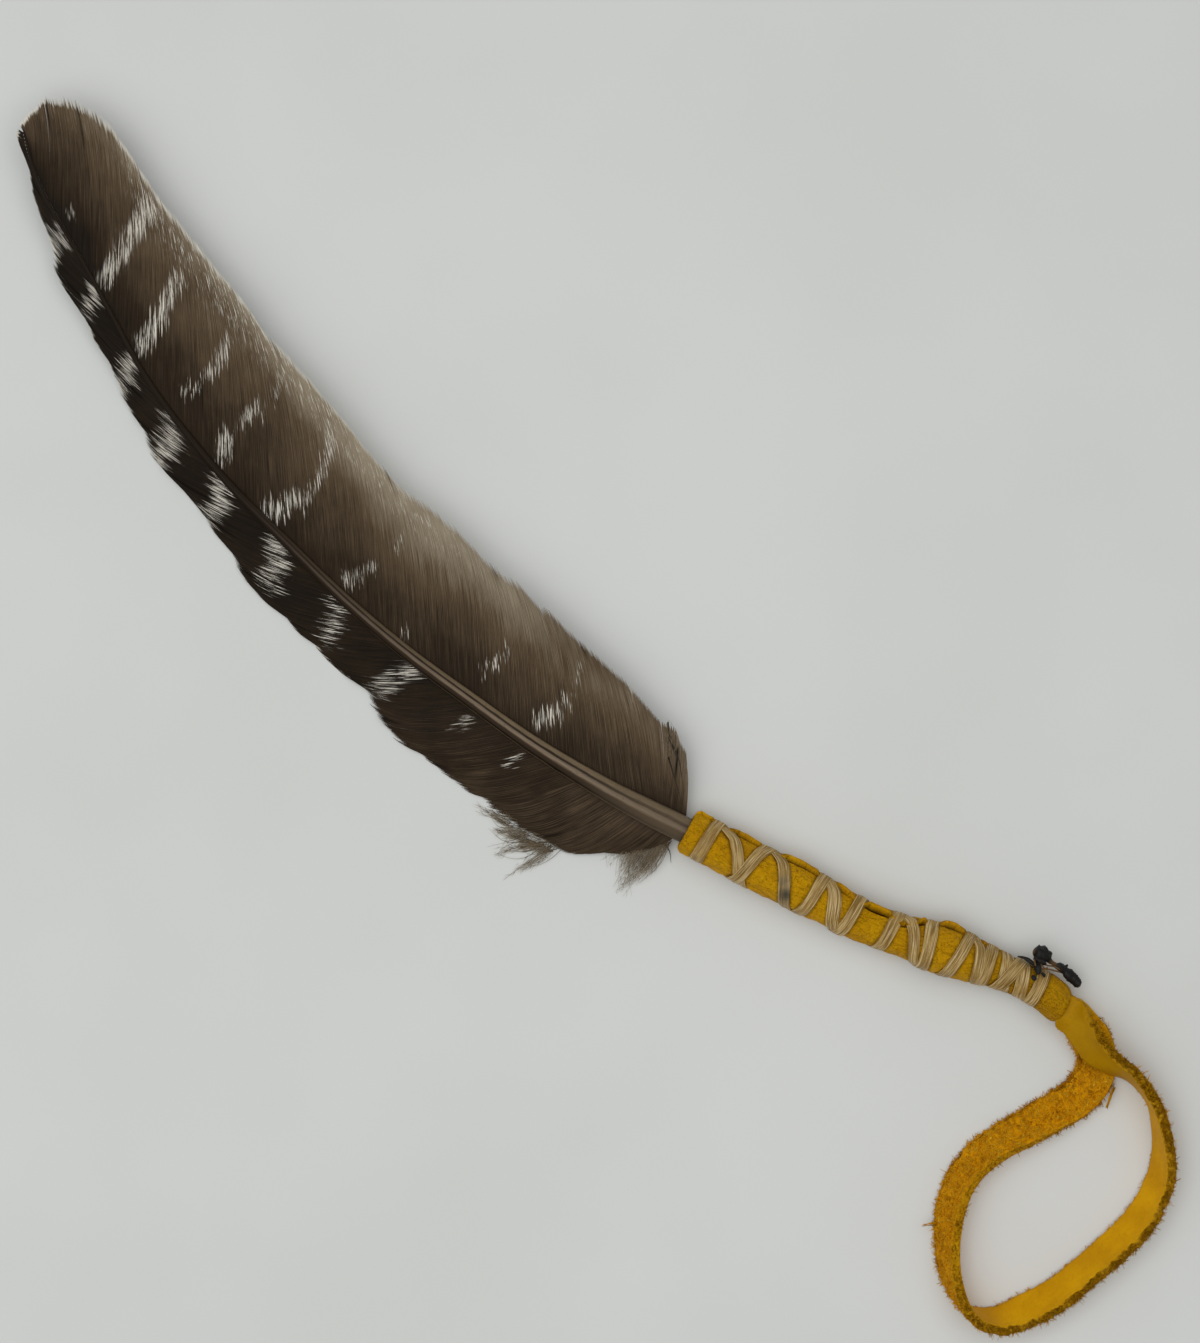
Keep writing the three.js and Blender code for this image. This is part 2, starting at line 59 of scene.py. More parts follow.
# The shaft: x, y, z of its centre line and half its width.
SHAFT = [
    (-285, 17.3, 11.3, 0.3), (-277.8, 11.8, 10.4, 0.35), (-268.2, 6.7, 9.2, 0.4),
    (-253.6, 1.4, 7.5, 0.5), (-239, -4.4, 6.1, 0.6), (-224.3, -10.3, 4.9, 0.7),
    (-209.5, -14.3, 3.9, 0.8), (-189.7, -17.9, 3, 1), (-169.8, -19.8, 2.6, 1.25),
    (-149.8, -21.4, 2.6, 1.5), (-129.9, -21.6, 2.8, 1.7), (-109.9, -20.4, 3.3, 1.9),
    (-90, -18.8, 3.9, 2.2), (-70.1, -15.8, 4.8, 2.7), (-58.2, -13.3, 5.3, 3.1),
    (-48.3, -10.9, 5.6, 3.2), (-30.4, -7.2, 5.7, 3), (-10.5, -2.6, 5.7, 2.8), (0, 0, 5.8, 2.6),
    (21.3, 8.2, 5.9, 2.1),
]
SHAFT_FLATTEN = 0.92  # height of the shaft over its width
SHAFT_WIDEN = 1.02  # how much wider it is where the vanes' roots join it
SHAFT_STATIONS = 220
SHAFT_SIDES = 48

# The vanes. Each row is one barb: x where it leaves the shaft, then x, y, z of its tip.
BROAD_VANE = [
    (-49.2, -54, -2.6, 6.6), (-51, -60.2, 4.6, 7.6), (-54, -66.8, 6.9, 9), (-57.5, -80, 7.8, 10.8),
    (-65, -91, 8.5, 12), (-80, -108.7, 9, 12.8), (-100, -130.4, 9.1, 13),
    (-119.9, -153.1, 9.7, 13), (-139.9, -176.7, 12.4, 13), (-159.8, -202.3, 16.7, 13),
    (-179.7, -221.1, 20.3, 13), (-199.6, -239.8, 24.3, 13), (-219.3, -255.6, 28.1, 13),
    (-239, -270.3, 31.6, 13), (-250.7, -278.2, 30.8, 13), (-260.4, -282.7, 28.4, 13),
    (-268.2, -285.1, 26, 13), (-275.9, -286.2, 20.9, 12.6), (-281.6, -286.5, 17.5, 12),
]
NARROW_VANE = [
    (-49.7, -50, -16, 3), (-52, -53.5, -23, 1.8), (-55.5, -60.5, -28.6, 1.2),
    (-61.2, -69, -35, 0.6), (-72.1, -84, -37.4, 0.3), (-85, -104, -38.7, 0.3),
    (-98, -120, -39.3, 0.3), (-111.9, -133, -35.5, 0.3), (-127.9, -151, -34.7, 0.3),
    (-139.9, -169, -33.9, 0.3), (-151.8, -182, -30.1, 0.3), (-164.8, -195, -26.9, 0.3),
    (-179.7, -210, -24.9, 0.3), (-194.6, -222.8, -19.2, 1.2), (-209.5, -236.6, -12.6, 2.6),
    (-224.3, -248.3, -8, 4), (-239, -259.9, -2.4, 5.6), (-253.6, -271.5, 4.7, 7.6),
    (-266.2, -279, 10.8, 9.2), (-277.8, -284.2, 13.9, 10.4), (-283.6, -285.5, 16, 11.2),
]
# The vanes' edges as the camera sees them against the sheet, from the grip to the tip.
BROAD_EDGE = [
    (-48.5, -8.3), (-50, -7.8), (-52, -6.3), (-54, -3.5), (-56, -1), (-58, 1), (-60.4, 3.5),
    (-63, 4.3), (-66.1, 6), (-70, 4.9), (-75, 5.7), (-80, 6.7), (-90, 7.2), (-100, 7.5),
    (-105, 7.8), (-110, 8.4), (-112, 7.5), (-115, 7.8), (-120, 8.5), (-125, 7.9), (-130, 7.8),
    (-133, 8.1), (-140, 9), (-150, 9), (-155, 8.4), (-160, 8.4), (-165, 9.3), (-170, 9.8),
    (-175, 10.8), (-185, 12.9), (-200, 15.2), (-210, 16.3), (-215, 17.8), (-230, 20.8),
    (-240, 22.8), (-248, 24.2), (-254, 25.8), (-262, 28.3), (-272, 31), (-277, 31.2), (-282, 29.5),
    (-285, 28), (-288.5, 25), (-289, 15.5),
]
NARROW_EDGE = [
    (-49.5, -17), (-51, -20.5), (-53, -24), (-56, -27), (-60, -29.6), (-63, -32.6), (-66, -35.2),
    (-70, -36.4), (-75, -37.2), (-80, -38.4), (-88, -38.7), (-93, -38.7), (-96, -39.8),
    (-105, -39.8), (-112, -40), (-116, -41.1), (-120, -40.3), (-125, -40), (-127, -38.5),
    (-130, -36.9), (-132, -36.1), (-140, -37.1), (-145, -36.9), (-150, -35.7), (-155, -36.2),
    (-160, -35), (-167, -35.5), (-172, -34.8), (-175, -33.8), (-180, -31.5), (-187, -30.4),
    (-190, -29), (-200, -27.2), (-206, -26.7), (-210, -26), (-214, -24), (-217, -22),
    (-222, -20.7), (-226, -19), (-231, -16), (-235, -14.3), (-241, -12.7), (-245, -10.3),
    (-250, -9), (-257, -7), (-260, -5), (-263, -2), (-266, 0), (-270, 2), (-275, 5.2), (-280, 9.5),
    (-283.5, 11.5), (-286, 12.7), (-288, 14), (-288.5, 16),
]
# How strongly the barbs bend towards the tip, at x along the shaft.
BROAD_HOOK = [(-285, 0.06), (-200, 0.09), (-100, 0.1), (-60, 0.06), (-49, 0.02)]
NARROW_HOOK = [(-285, 0.03), (-230, 0.06), (-190, 0.1), (-150, 0.16), (-120, 0.22), (-50, 0.16)]
BROAD_BARBS = 560
NARROW_BARBS = 500
BARB_STATIONS = 34
BARB_RIDGE = 0.07  # height of a barb's ridge
BARB_OVERLAP = 0.57  # half a barb's width over the way to the next barb
BARB_TILT = 0.12  # how far each barb leans over its neighbour
BARB_FLOOR = 0.14  # barbs stay this high over the sheet
BARB_ACROSS = (-0.45, 0, 0.45)  # a barb's two sides and its ridge, as places in the grain
# In a pale mark each barb's ridge is painted paler than its sides, a painted sheen.
BARB_PALE_SHEEN = (0.7, 1.05, 0.7)  # how pale those three are in a mark
MARK_JITTER = 1.1  # how far the marks wander from barb to barb
BROAD_RAGGED, NARROW_RAGGED = 0.03, 0.07  # how unevenly the barbs end
EDGE_LIFT = 1.35  # how late the barbs rise towards the edge

# Pale marks as seen from above: strength, half width, then points along the mark.
BROAD_MARKS = [
    (0.5, 1.2, [(-264, 7.5), (-264, 5.5)]),
    (1.2, 2.3, [(-250.5, 21), (-249.5, 14), (-248.5, 8), (-247.5, 1)]),
    (1.15, 2, [(-233, 12), (-232, 7), (-230.5, 1), (-230, -6)]),
    (1, 1.6, [(-214, 8), (-212.5, 3), (-212, -1)]), (0.9, 1.2, [(-212.5, -4), (-214.5, -9)]),
    (0.8, 1.3, [(-197, 9), (-196, 5)]), (0.9, 1.6, [(-197, 0), (-198, -5)]),
    (1.1, 1.8, [(-199, -10), (-196.5, -15)]),
    (1.2, 2.4, [(-178.5, -17.5), (-176, -13.5), (-174.5, -11)]),
    (0.85, 1.4, [(-174, -8), (-174, -3), (-177, 4), (-180, 8)]),
    (0.95, 1.5, [(-153, -18), (-151, -14), (-150, -12)]), (0.5, 1, [(-149, -4), (-149, -1)]),
    (0.5, 1, [(-133, -20), (-133, -18)]),
    (0.85, 1.1, [(-112.5, -14), (-111, -10.5), (-110, -6.5)]),
    (1.2, 1.9, [(-93, -14), (-91.5, -10), (-91, -7.5)]),
    (0.6, 0.9, [(-91.5, -3), (-93.5, 2), (-94, 3.5)]), (0.6, 0.9, [(-80, 6.5), (-79, 5)]),
]
NARROW_MARKS = [
    (1.2, 2.6, [(-263.5, 2), (-262.5, -2.5)]), (1.2, 2.2, [(-247.5, -3.5), (-246, -8)]),
    (1.2, 2.3, [(-230.5, -9.5), (-229, -13), (-226.5, -17)]),
    (1.2, 3.2, [(-211, -16.5), (-209, -20), (-208, -24.5)]),
    (1.2, 2.8, [(-192, -19.5), (-190, -23), (-189, -27)]),
    (1.1, 3, [(-172, -22), (-169, -26), (-167, -31)]),
    (0.85, 2.4, [(-151, -24.5), (-148.5, -28), (-147, -33)]),
    (0.85, 2.9, [(-125.5, -26), (-127.5, -30), (-129, -34)]),
    (0.75, 1.5, [(-107, -25.5), (-107.5, -28.5)]), (0.75, 1.3, [(-91.5, -24.5), (-91.5, -27)]),
]
# The pale rim along an edge: x at the shaft, strength and width along a barb.
BROAD_RIM = [
    (-284, 1, 1.3), (-272, 1, 1.3), (-262, 0.8, 1.4), (-246, 1, 2.2), (-225, 1, 3), (-180, 1, 2.9),
    (-150, 0.95, 2.4), (-130, 0.6, 1.8), (-110, 0.3, 1.2), (-60, 0.1, 1), (-49, 0, 1),
]
NARROW_RIM = [
    (-284, 0.8, 0.9), (-262, 0.7, 1), (-240, 0.45, 1), (-221, 1, 2), (-200, 0.85, 1.7),
    (-186, 0.4, 1), (-172, 0.75, 1.5), (-158, 0.3, 1), (-136, 0.35, 1), (-124, 0.8, 1.5),
    (-108, 0.1, 1), (-49, 0, 1),
]
# Near a slit the barbs are painted with its shadow.
SPLIT_LIFT, SPLIT_SHADOW = 3, 0.4  # how far from a slit barbs are lifted and dark
# Places where neighbouring barbs have come apart: x at the shaft, where along the
# barb the slit starts and ends, and how far one side of it stands above the other.
BROAD_SPLITS = [
    (-53, 0.35, 0.9, 0.25), (-71, 0.8, 1.2, 0.2), (-97, 0.82, 1.2, 0.2), (-128, 0.8, 1.2, 0.2),
    (-163, 0.85, 1.2, 0.2), (-189, 0, 0.2, 0.3), (-201, 0.04, 0.36, 0.3), (-222, 0.8, 1.2, 0.2),
    (-252, 0.6, 1.2, 0.2), (-268, 0.6, 1.2, 0.25),
]
NARROW_SPLITS = [
    (-66, 0.6, 1.2, 0.4), (-88, 0.75, 1.2, 0.3), (-104, 0.7, 1.2, 0.5), (-118, 0.6, 1.2, 0.4),
    (-134, 0.6, 1.2, 0.5), (-147, 0.5, 1.2, 0.7), (-163, 0.55, 1.2, 0.7), (-178, 0.4, 1.2, 0.8),
    (-193, 0.45, 1.2, 0.7), (-207, 0.4, 1.2, 0.8), (-221, 0.45, 1.2, 0.7), (-236, 0.4, 1.2, 0.7),
    (-249, 0.45, 1.2, 0.6), (-262, 0.5, 1.2, 0.4),
]

# Downy barbs: x, y, z of the foot, x, y, z of the tip, and how many lie side by side.
DOWN = [
    (-82, -37.8, 0.8, -90.5, -39.6, 0.5, 12), (-77, -37.4, 0.8, -84.5, -42, 0.5, 16),
    (-73, -36.6, 0.8, -80.5, -46, 0.5, 12), (-70, -35, 0.9, -74.2, -50.5, 0.5, 10),
    (-72, -36, 0.9, -78, -41, 0.5, 16), (-62, -19, 3.2, -66.5, -31, 0.8, 14),
    (-59, -18, 3.2, -61, -29.5, 0.8, 18), (-56.5, -17.2, 3.2, -57, -29, 0.8, 20),
    (-54.5, -16.6, 3.2, -53.5, -31.5, 0.8, 22), (-52.8, -16, 3.3, -51, -34.5, 0.8, 22),
    (-51.3, -15.4, 3.4, -49.2, -32, 0.9, 20), (-50, -15, 3.5, -47.6, -28, 1, 14),
    (-64, 2, 9.2, -68.5, 6.8, 10.2, 6),
]
DOWN_SHARE = 1.3  # barbs made for each one in the table
DOWN_STATIONS = 12
DOWN_HALF, HAIR_HALF, STRAY_HALF = 0.085, 0.035, 0.2  # half widths of the loose barbs
SIDE_HAIRS = 9  # on each downy barb
HAIR_STATIONS = 5
# Loose dark barbs and one fine hair beside the grip: points x, y, z.
STRAY_BARBS = [
    [(-63, 0.5, 9.5), (-58, -2.8, 8.4), (-52.6, -6.4, 7.2)],
    [(-66, 4.2, 9.7), (-60.5, 1.6, 9), (-54.4, -3.8, 7.6)],
    [(-68.6, 7, 10), (-64.2, 3.2, 9.6), (-59.4, 1, 8.8)],
    [(-50.5, -16.6, 3.4), (-47.4, -17.4, 2), (-45.2, -19.4, 0.6)],
]

# ---- grip ----------------------------------------------------------------------

# The grip: x, y of its axis and its radius.
GRIP = [
    (-47.5, -10.7, 5.2), (-38, -8.8, 5.1), (-28, -6.6, 5.3), (-18, -4.1, 5.4), (-8, -1.9, 5.1),
    (0, 0, 5), (6, 2, 4.8), (13, 4.8, 5.3), (20, 7.5, 6), (27, 9.8, 5.3), (33, 12.2, 4.5),
    (40, 14.5, 4.3), (46, 15.9, 4.7), (52.8, 16, 4.8),
]
GRIP_LEAN = 0.2  # its ends are cut square to an axis with this slope
GRIP_SINK = 0.955  # height of the axis over the radius
GRIP_FOOT = 0.96  # room for the lacing under the grip
GRIP_ROUND = 3.4  # length of its rounded back end
GRIP_TUCK = 0.45  # how far that end rounds in, over the radius
GRIP_STATIONS = 300
GRIP_FLOOR = 0.35  # the hide stays this high over the sheet
# Its open front end round the quill: how deep, radius and how dark its inside is painted as shade.
BORE = [(4, 0.5, 1), (3.6, 3.5, 1), (1.5, 3.9, 0.9), (0.3, 4.2, 0.5), (-0.25, 4.75, 0.1)]
SEAM_STEP = 0.6  # thickness of the hide's overlapping edge
SEAM_FADE = 95  # degrees over which it melts into the wrap
SEAM_DROP = 3  # degrees over which its cut side falls off
SEAM_END = (28, 37)  # the overlap thins out to nothing between these x
# The overlapping edge: x, degrees up from the +Y side, and how far it gapes.
SEAM = [
    (-48, 12, 0.1), (-40, 12, 0.6), (-34, 13, 0.9), (-27, 14, 0.2), (-22, 17, 1), (-16, 15, 0.8),
    (-12, 20, 0.1), (-8, 24, 0.7), (-4, 32, 0.2), (-1, 38, 1.1), (2.5, 41, 1.4), (6, 43, 0.6),
    (8.5, 56, 0.7), (11, 42, 1.8), (13.5, 24, 1), (15.5, 16, 0.2), (18, 14, 1.4), (21, 12, 0.8),
    (26, 12, 0.3), (32, 12, 0.2), (37, 12, 0),
]

# The lacing: rows of x along the grip and the turns made, down the grip and back.
STRAND_OUT = [
    (-41.5, -0.25), (-41.4, 0), (-36.4, 0.12), (-29.6, 0.5), (-26.8, 1), (-23.4, 1.12),
    (-17.6, 1.5), (-13.2, 2), (-9.6, 2.12), (-4.2, 2.5), (6.6, 3), (10.6, 3.12), (16.2, 3.5),
    (24.8, 4), (27.4, 4.12), (31, 4.5), (33.8, 5), (37, 5.5), (38, 6), (41.2, 6.5), (40.4, 7.05),
]
STRAND_BACK = [
    (-41.8, 0.75), (-42.4, 0.5), (-41.2, 0), (-32.6, -0.5), (-27.8, -1), (-15, -1.5), (-12.4, -2),
    (-4.2, -2.5), (-2.3, -3), (-0.5, -3.17), (0.5, -3.33), (6, -3.5), (7.6, -4), (17.2, -4.5),
    (15, -5), (22.6, -5.5), (24.6, -6), (31.2, -6.5), (30.4, -7), (34.8, -7.5), (38.4, -8),
    (43.6, -8.5), (43.6, -9),
]
STRAND_WIDTH = 3.2
STRAND_THICK = 0.24
STRAND_LIFT = 0.05  # gap between the hide and the lacing
STRAND_FLOOR = 0.02  # the lacing stays this high over the sheet
STRAND_NEAR = (1.4, 2.6)  # a strand rides over another from this far away
STRAND_STEPS = 44  # sections in a turn
STRAND_RIBS = 13  # points across the strand

# Stains on the lacing, as seen from above: x, y, size and strength.
STAINS = [(-18, -8.2, 2.4, 1), (-20.6, -6, 1.8, 0.7), (38.2, 18.5, 1.4, 0.8)]

# The burnt ends: x, y, z and radius, from the knot, along a thin thread, to the tail.
BURNT = [
    (37.3, 21.7, 8.2, 0.5), (38, 22, 8, 1.5), (39.3, 22.6, 7.4, 2), (40.5, 22.8, 6.9, 1.7),
    (41.7, 22.6, 6.6, 0.8), (43.5, 22.7, 6.5, 0.55), (45.1, 23, 6.3, 1.1), (46.3, 23, 6.1, 1),
    (47.9, 23, 5.8, 1.2), (49.9, 22.9, 5.3, 1.4), (51.5, 22.5, 5, 1.1), (52.1, 22.3, 4.9, 0.4),
]
# Drops and threads of burnt sinew: points x, y, z with a radius at each.
DRIPS = [
    [(40.6, 16.9, 10.3, 0.2), (41, 16.8, 10.5, 0.65), (41.6, 16.7, 10.5, 0.65),
     (42, 16.6, 10.3, 0.2)],
    [(42.1, 18.9, 9.6, 0.2), (42.5, 18.9, 9.8, 0.5), (43, 18.8, 9.7, 0.5), (43.3, 18.8, 9.5, 0.2)],
    [(35, 18.2, 8.9, 0.15), (36.2, 18.9, 9, 0.35), (37.4, 19.2, 9.1, 0.55),
     (38.8, 19.3, 9.3, 0.45), (39.8, 18.8, 9.6, 0.2)],
    [(38.4, 20.6, 8.4, 0.6), (39.6, 20.9, 8.3, 1.1), (40.8, 21.1, 8.1, 0.9),
     (41.8, 21.2, 7.9, 0.3)],
    [(39.9, 20.2, 8.8, 0.5), (40.6, 19.4, 9.2, 1), (41.2, 18.6, 9.6, 0.8), (41.5, 18, 9.9, 0.3)],
    [(45.9, 23.3, 6.3, 0.7), (46.1, 24, 6.5, 0.5), (46.2, 24.7, 6.6, 0.12)],
]
THREADS = [
    [(40.5, 21.5, 8, 0.25), (42, 21.2, 7.9, 0.22), (43.6, 22, 7.4, 0.2), (45.6, 22.6, 6.8, 0.25)],
    [(40.2, 20.4, 8.8, 0.2), (42.2, 20.3, 8.8, 0.25), (43.5, 21, 8.2, 0.2), (45.8, 22, 7, 0.2)],
    [(41, 22.6, 7, 0.3), (42.6, 22.9, 6.8, 0.25), (44.2, 22.6, 6.6, 0.3), (46, 23, 6.2, 0.4)],
    [(38.6, 20.8, 8.4, 0.2), (39, 19.9, 9.2, 0.25), (40.2, 19.2, 9.6, 0.2),
     (41.4, 19.6, 9.2, 0.2)],
    [(39.6, 20.6, 8.6, 0.2), (40.6, 19.8, 9.2, 0.2), (41.8, 19.9, 9, 0.2), (42.6, 20.8, 8.2, 0.2)],
]
BURNT_SIDES = 18
BURNT_STATIONS = 70
DRIP_STATIONS = 16

# The wrist loop: x, y, z of its middle, and its roll in degrees: 0 has the smooth side
# up, 90 has it facing into the loop, and 180 has the rough side up.
LOOP = [
    (42.5, 15.3, 6.5, 0), (48, 15.9, 6.5, 0), (53.4, 15.7, 6.5, 2), (56.5, 15.1, 6.9, 34),
    (60.5, 13.9, 7.6, 46), (66, 12.5, 7.5, 53), (72, 13, 7.3, 66), (76.3, 13.6, 6.1, 78),
    (80.5, 13.3, 5, 84), (85.5, 11.8, 4.7, 86), (90, 8.6, 4.6, 81), (94.9, 3.9, 4.6, 72),
    (98.9, -2.6, 4.5, 60), (101, -13, 4.3, 53), (100.3, -22, 4.2, 52), (98.8, -31, 4.3, 54),
    (97.2, -39.5, 4.1, 50), (94, -47.6, 4.1, 50), (89.8, -54.4, 4.4, 64), (83.3, -57.2, 4.7, 88),
    (75.8, -54.6, 4.7, 104), (68.9, -48.6, 4.6, 112), (63.4, -40.6, 4.3, 122),
    (60.6, -32, 4.1, 126), (61.4, -23, 3.8, 132), (65, -13.5, 3, 144), (68.6, -4.5, 1.9, 160),
    (70.6, 3, 1.2, 174), (69.6, 9.4, 1.1, 179), (65.4, 13.7, 1.1, 180), (60, 15.4, 1.9, 180),
    (56.5, 15.8, 3.1, 180), (53.4, 15.8, 4.1, 180), (48, 15.9, 4.2, 180), (42.5, 15.3, 4.2, 180),
]
STRAP_WIDTH = 9.2
STRAP_THICK = 2.1
STRAP_FLAT = 0.93  # share of the width up to its rounded edges
STRAP_TAIL = 7  # width of its two ends, which sit in the grip
STRAP_TAIL_LENGTH = 10
STRAP_SHOULDER = 2.5  # length over which the tail widens to the full strap
STRAP_STATIONS = 860
STRAP_FLOOR = 0.03  # the strap stays this high over the sheet
STRAP_TURNS = (0.5, 0.6)  # where along it the ragged edge changes sides
FUZZ = 14000  # fibres on the rough side and the cut edges
FUZZ_STATIONS = 3
FUZZ_TUFTS = 1500
FUZZ_FLOOR = 0.2  # fibres stay this high over the sheet
# Longer locks of fibres: x, y, z of the foot, x, y, z of the tip, and how many.
LOCKS = [
    (75.4, 8.6, 2, 77.2, 3.8, 2.6, 26), (66.2, 15, 4.2, 65.6, 16.8, 4.6, 22),
    (62.9, -45.6, 2.8, 60.8, -48.2, 3.2, 12), (99.6, -36.6, 7.4, 101.6, -38, 7.6, 10),
]
FUZZ_FROM = 17  # where the fibres start, along the strap

# ---- studio --------------------------------------------------------------------

SHEET_HALF = 1.6  # in metres, like the lamps
# The lamps: name, place, diameter and power in watts.
LAMPS = [("key", (-0.45, -0.42, 1.08), 1.3, 3.7), ("top", (-0.05, 0.15, 1.3), 1.8, 6.4)]
LAMPS_AIM = (-0.09, 0, 0)
ROOM_COLOUR = (0.82, 0.84, 0.85, 1)
ROOM_LIGHT = 0.43


# ---- curves and meshes ---------------------------------------------------------


def through(rows):
    """A smooth curve through rows (t, a, b, ...): gives an array (a, b, ...) at any t."""
    table = np.array(sorted(rows), float)
    t, values = table[:, 0], table[:, 1:]
    last = len(t) - 1
    ahead = np.minimum(np.arange(last + 1) + 1, last)
    behind = np.maximum(np.arange(last + 1) - 1, 0)
    slopes = (values[ahead] - values[behind]) / (t[ahead] - t[behind])[:, None]

    def at(x):
        x = np.asarray(x, float)
        i = np.clip(np.searchsorted(t, x, side="right") - 1, 0, last - 1)
        span = (t[i + 1] - t[i])[..., None]
        u = np.clip((x - t[i])[..., None] / span, 0, 1)
        d = values[i + 1] - values[i]
        m0, m1 = slopes[i] * span, slopes[i + 1] * span
        return values[i] + u * (m0 + u * (3 * d - 2 * m0 - m1 + u * (m0 + m1 - 2 * d)))

    return at


def curve(points, count):
    """Rows spread along a smooth curve through a few."""
    at = through([(i, *point) for i, point in enumerate(points)])
    return at(np.linspace(0, len(points) - 1, count))


def smoothstep(x, low, high):
    """0 up to low, rising smoothly to 1 at high."""
    u = np.clip((np.asarray(x, float) - low) / (high - low), 0, 1)
    return u * u * (3 - 2 * u)


def fade(x, low, high):
    """1 up to low, falling smoothly to 0 at high."""
    return 1 - smoothstep(x, low, high)


def unit(v):
    return v / np.maximum(np.linalg.norm(v, axis=-1, keepdims=True), 1e-9)


def joined(*parts):
    """Vectors from their parts, which are broadcast together."""
    return np.stack(np.broadcast_arrays(*parts), -1)


def steps(directions, lengths):
    """Steps of several lengths along each direction."""
    return directions[:, None] * lengths[..., None]


def bell(x, middle, width):
    """1 at the middle, falling smoothly to nothing on both sides."""
    return np.exp(-(((x - middle) / width) ** 2))


def hold_above(points, floor):
    """Lifts the points that lie lower than a floor up to it."""
    points[..., 2] = np.maximum(points[..., 2], floor)


def left_of(along):
    """The level direction to the left of a direction."""
    return unit(joined(-along[..., 1], along[..., 0], 0.0))


def noise_at(points):
    """Smooth noise between about -1 and 1 at each point."""
    flat = [noise.noise(Vector(p)) for p in points.reshape(-1, 3)]
    return np.array(flat).reshape(points.shape[:-1]) * NOISE_REACH


def wander(t, rate, seed):
    """Smooth noise at each number in t."""
    return noise_at(joined(np.asarray(t) * rate, seed * 7.31, 0.5))


def rough(points, rate, seed):
    """Smooth noise in space, at each point."""
    return noise_at(points * rate + seed * 5.17)


def tube(rings):
    """The vertices and faces of a closed body through rings of points."""
    n, m, _ = rings.shape
    ring = np.arange(n - 1)[:, None] * m
    a, b = ring + np.arange(m), ring + (np.arange(m) + 1) % m
    quads = np.stack([a, b, b + m, a + m], -1).reshape(-1, 4)
    caps = [list(range(m))[::-1], list(range((n - 1) * m, n * m))]
    vertices = rings.reshape(-1, 3)
    p, q, r = (vertices[quads[:, k]] for k in (0, 1, 2))
    if np.einsum("ij,ij->", p, np.cross(q, r)) < 0:
        quads = quads[:, ::-1]
        caps = [cap[::-1] for cap in caps]
    return vertices, quads.tolist() + caps


def fibres(paths, side, half, height):
    """Closed three-sided fibres along paths of shape (fibres, stations, 3)."""
    n, m, _ = paths.shape
    up = unit(np.cross(unit(np.gradient(paths, axis=1)), side))
    half, height = half[..., None], height[..., None]
    rings = [paths - side * half, paths + up * height, paths + side * half]
    vertices = np.stack(rings, axis=2).reshape(-1, 3)
    base = ((np.arange(n) * m)[:, None] + np.arange(m - 1)[None, :]).reshape(-1) * 3
    quads = [
        np.stack([base + a, base + a + 3, base + b + 3, base + b], -1)
        for a, b in ((0, 1), (1, 2), (2, 0))
    ]
    start = np.arange(n) * m * 3
    stop = start + (m - 1) * 3
    caps = [np.stack([start, start + 1, start + 2], -1), np.stack([stop + 2, stop + 1, stop], -1)]
    return vertices, np.concatenate(quads).tolist() + np.concatenate(caps).tolist()


def gathered(shapes):
    """One set of vertices and faces from several."""
    faces, base = [], 0
    for vertices, own in shapes:
        faces += [[v + base for v in face] for face in own]
        base += len(vertices)
    return np.concatenate([vertices for vertices, _ in shapes]), faces


def put(name, data):
    """A new object in the scene."""
    made = bpy.data.objects.new(name, data)
    bpy.context.collection.objects.link(made)
    return made


def piece(name, shape, material, slot, nodes, grid=None, smooth=True, **values):
    """A piece of the object, with values for its material on its grid of vertices."""
    vertices, faces = shape
    grid = grid or (len(vertices),)
    mesh = bpy.data.meshes.new(name)
    mesh.from_pydata((vertices * MM).tolist(), [], faces)
    for key, value in values.items():
        value = np.asarray(value, float)
        value = np.broadcast_to(value, (*grid, *value.shape[len(grid) :]))
        kind, field = ("FLOAT", "value") if value.ndim == len(grid) else ("FLOAT_VECTOR", "vector")
        mesh.attributes.new(key, kind, "POINT").data.foreach_set(field, value.ravel())
    mesh.polygons.foreach_set("use_smooth", [smooth] * len(mesh.polygons))
    mesh.materials.append(material)
    made = put(name, mesh)
    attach(made, "root")
    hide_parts(*nodes)
    return made


# ---- materials -----------------------------------------------------------------


def paint(red, green, blue):
    """A colour given as the eye sees it, 0 to 255, in the renderer's linear values."""
    return tuple(((v / 255 + 0.055) / 1.055) ** 2.4 for v in (red, green, blue)) + (1,)


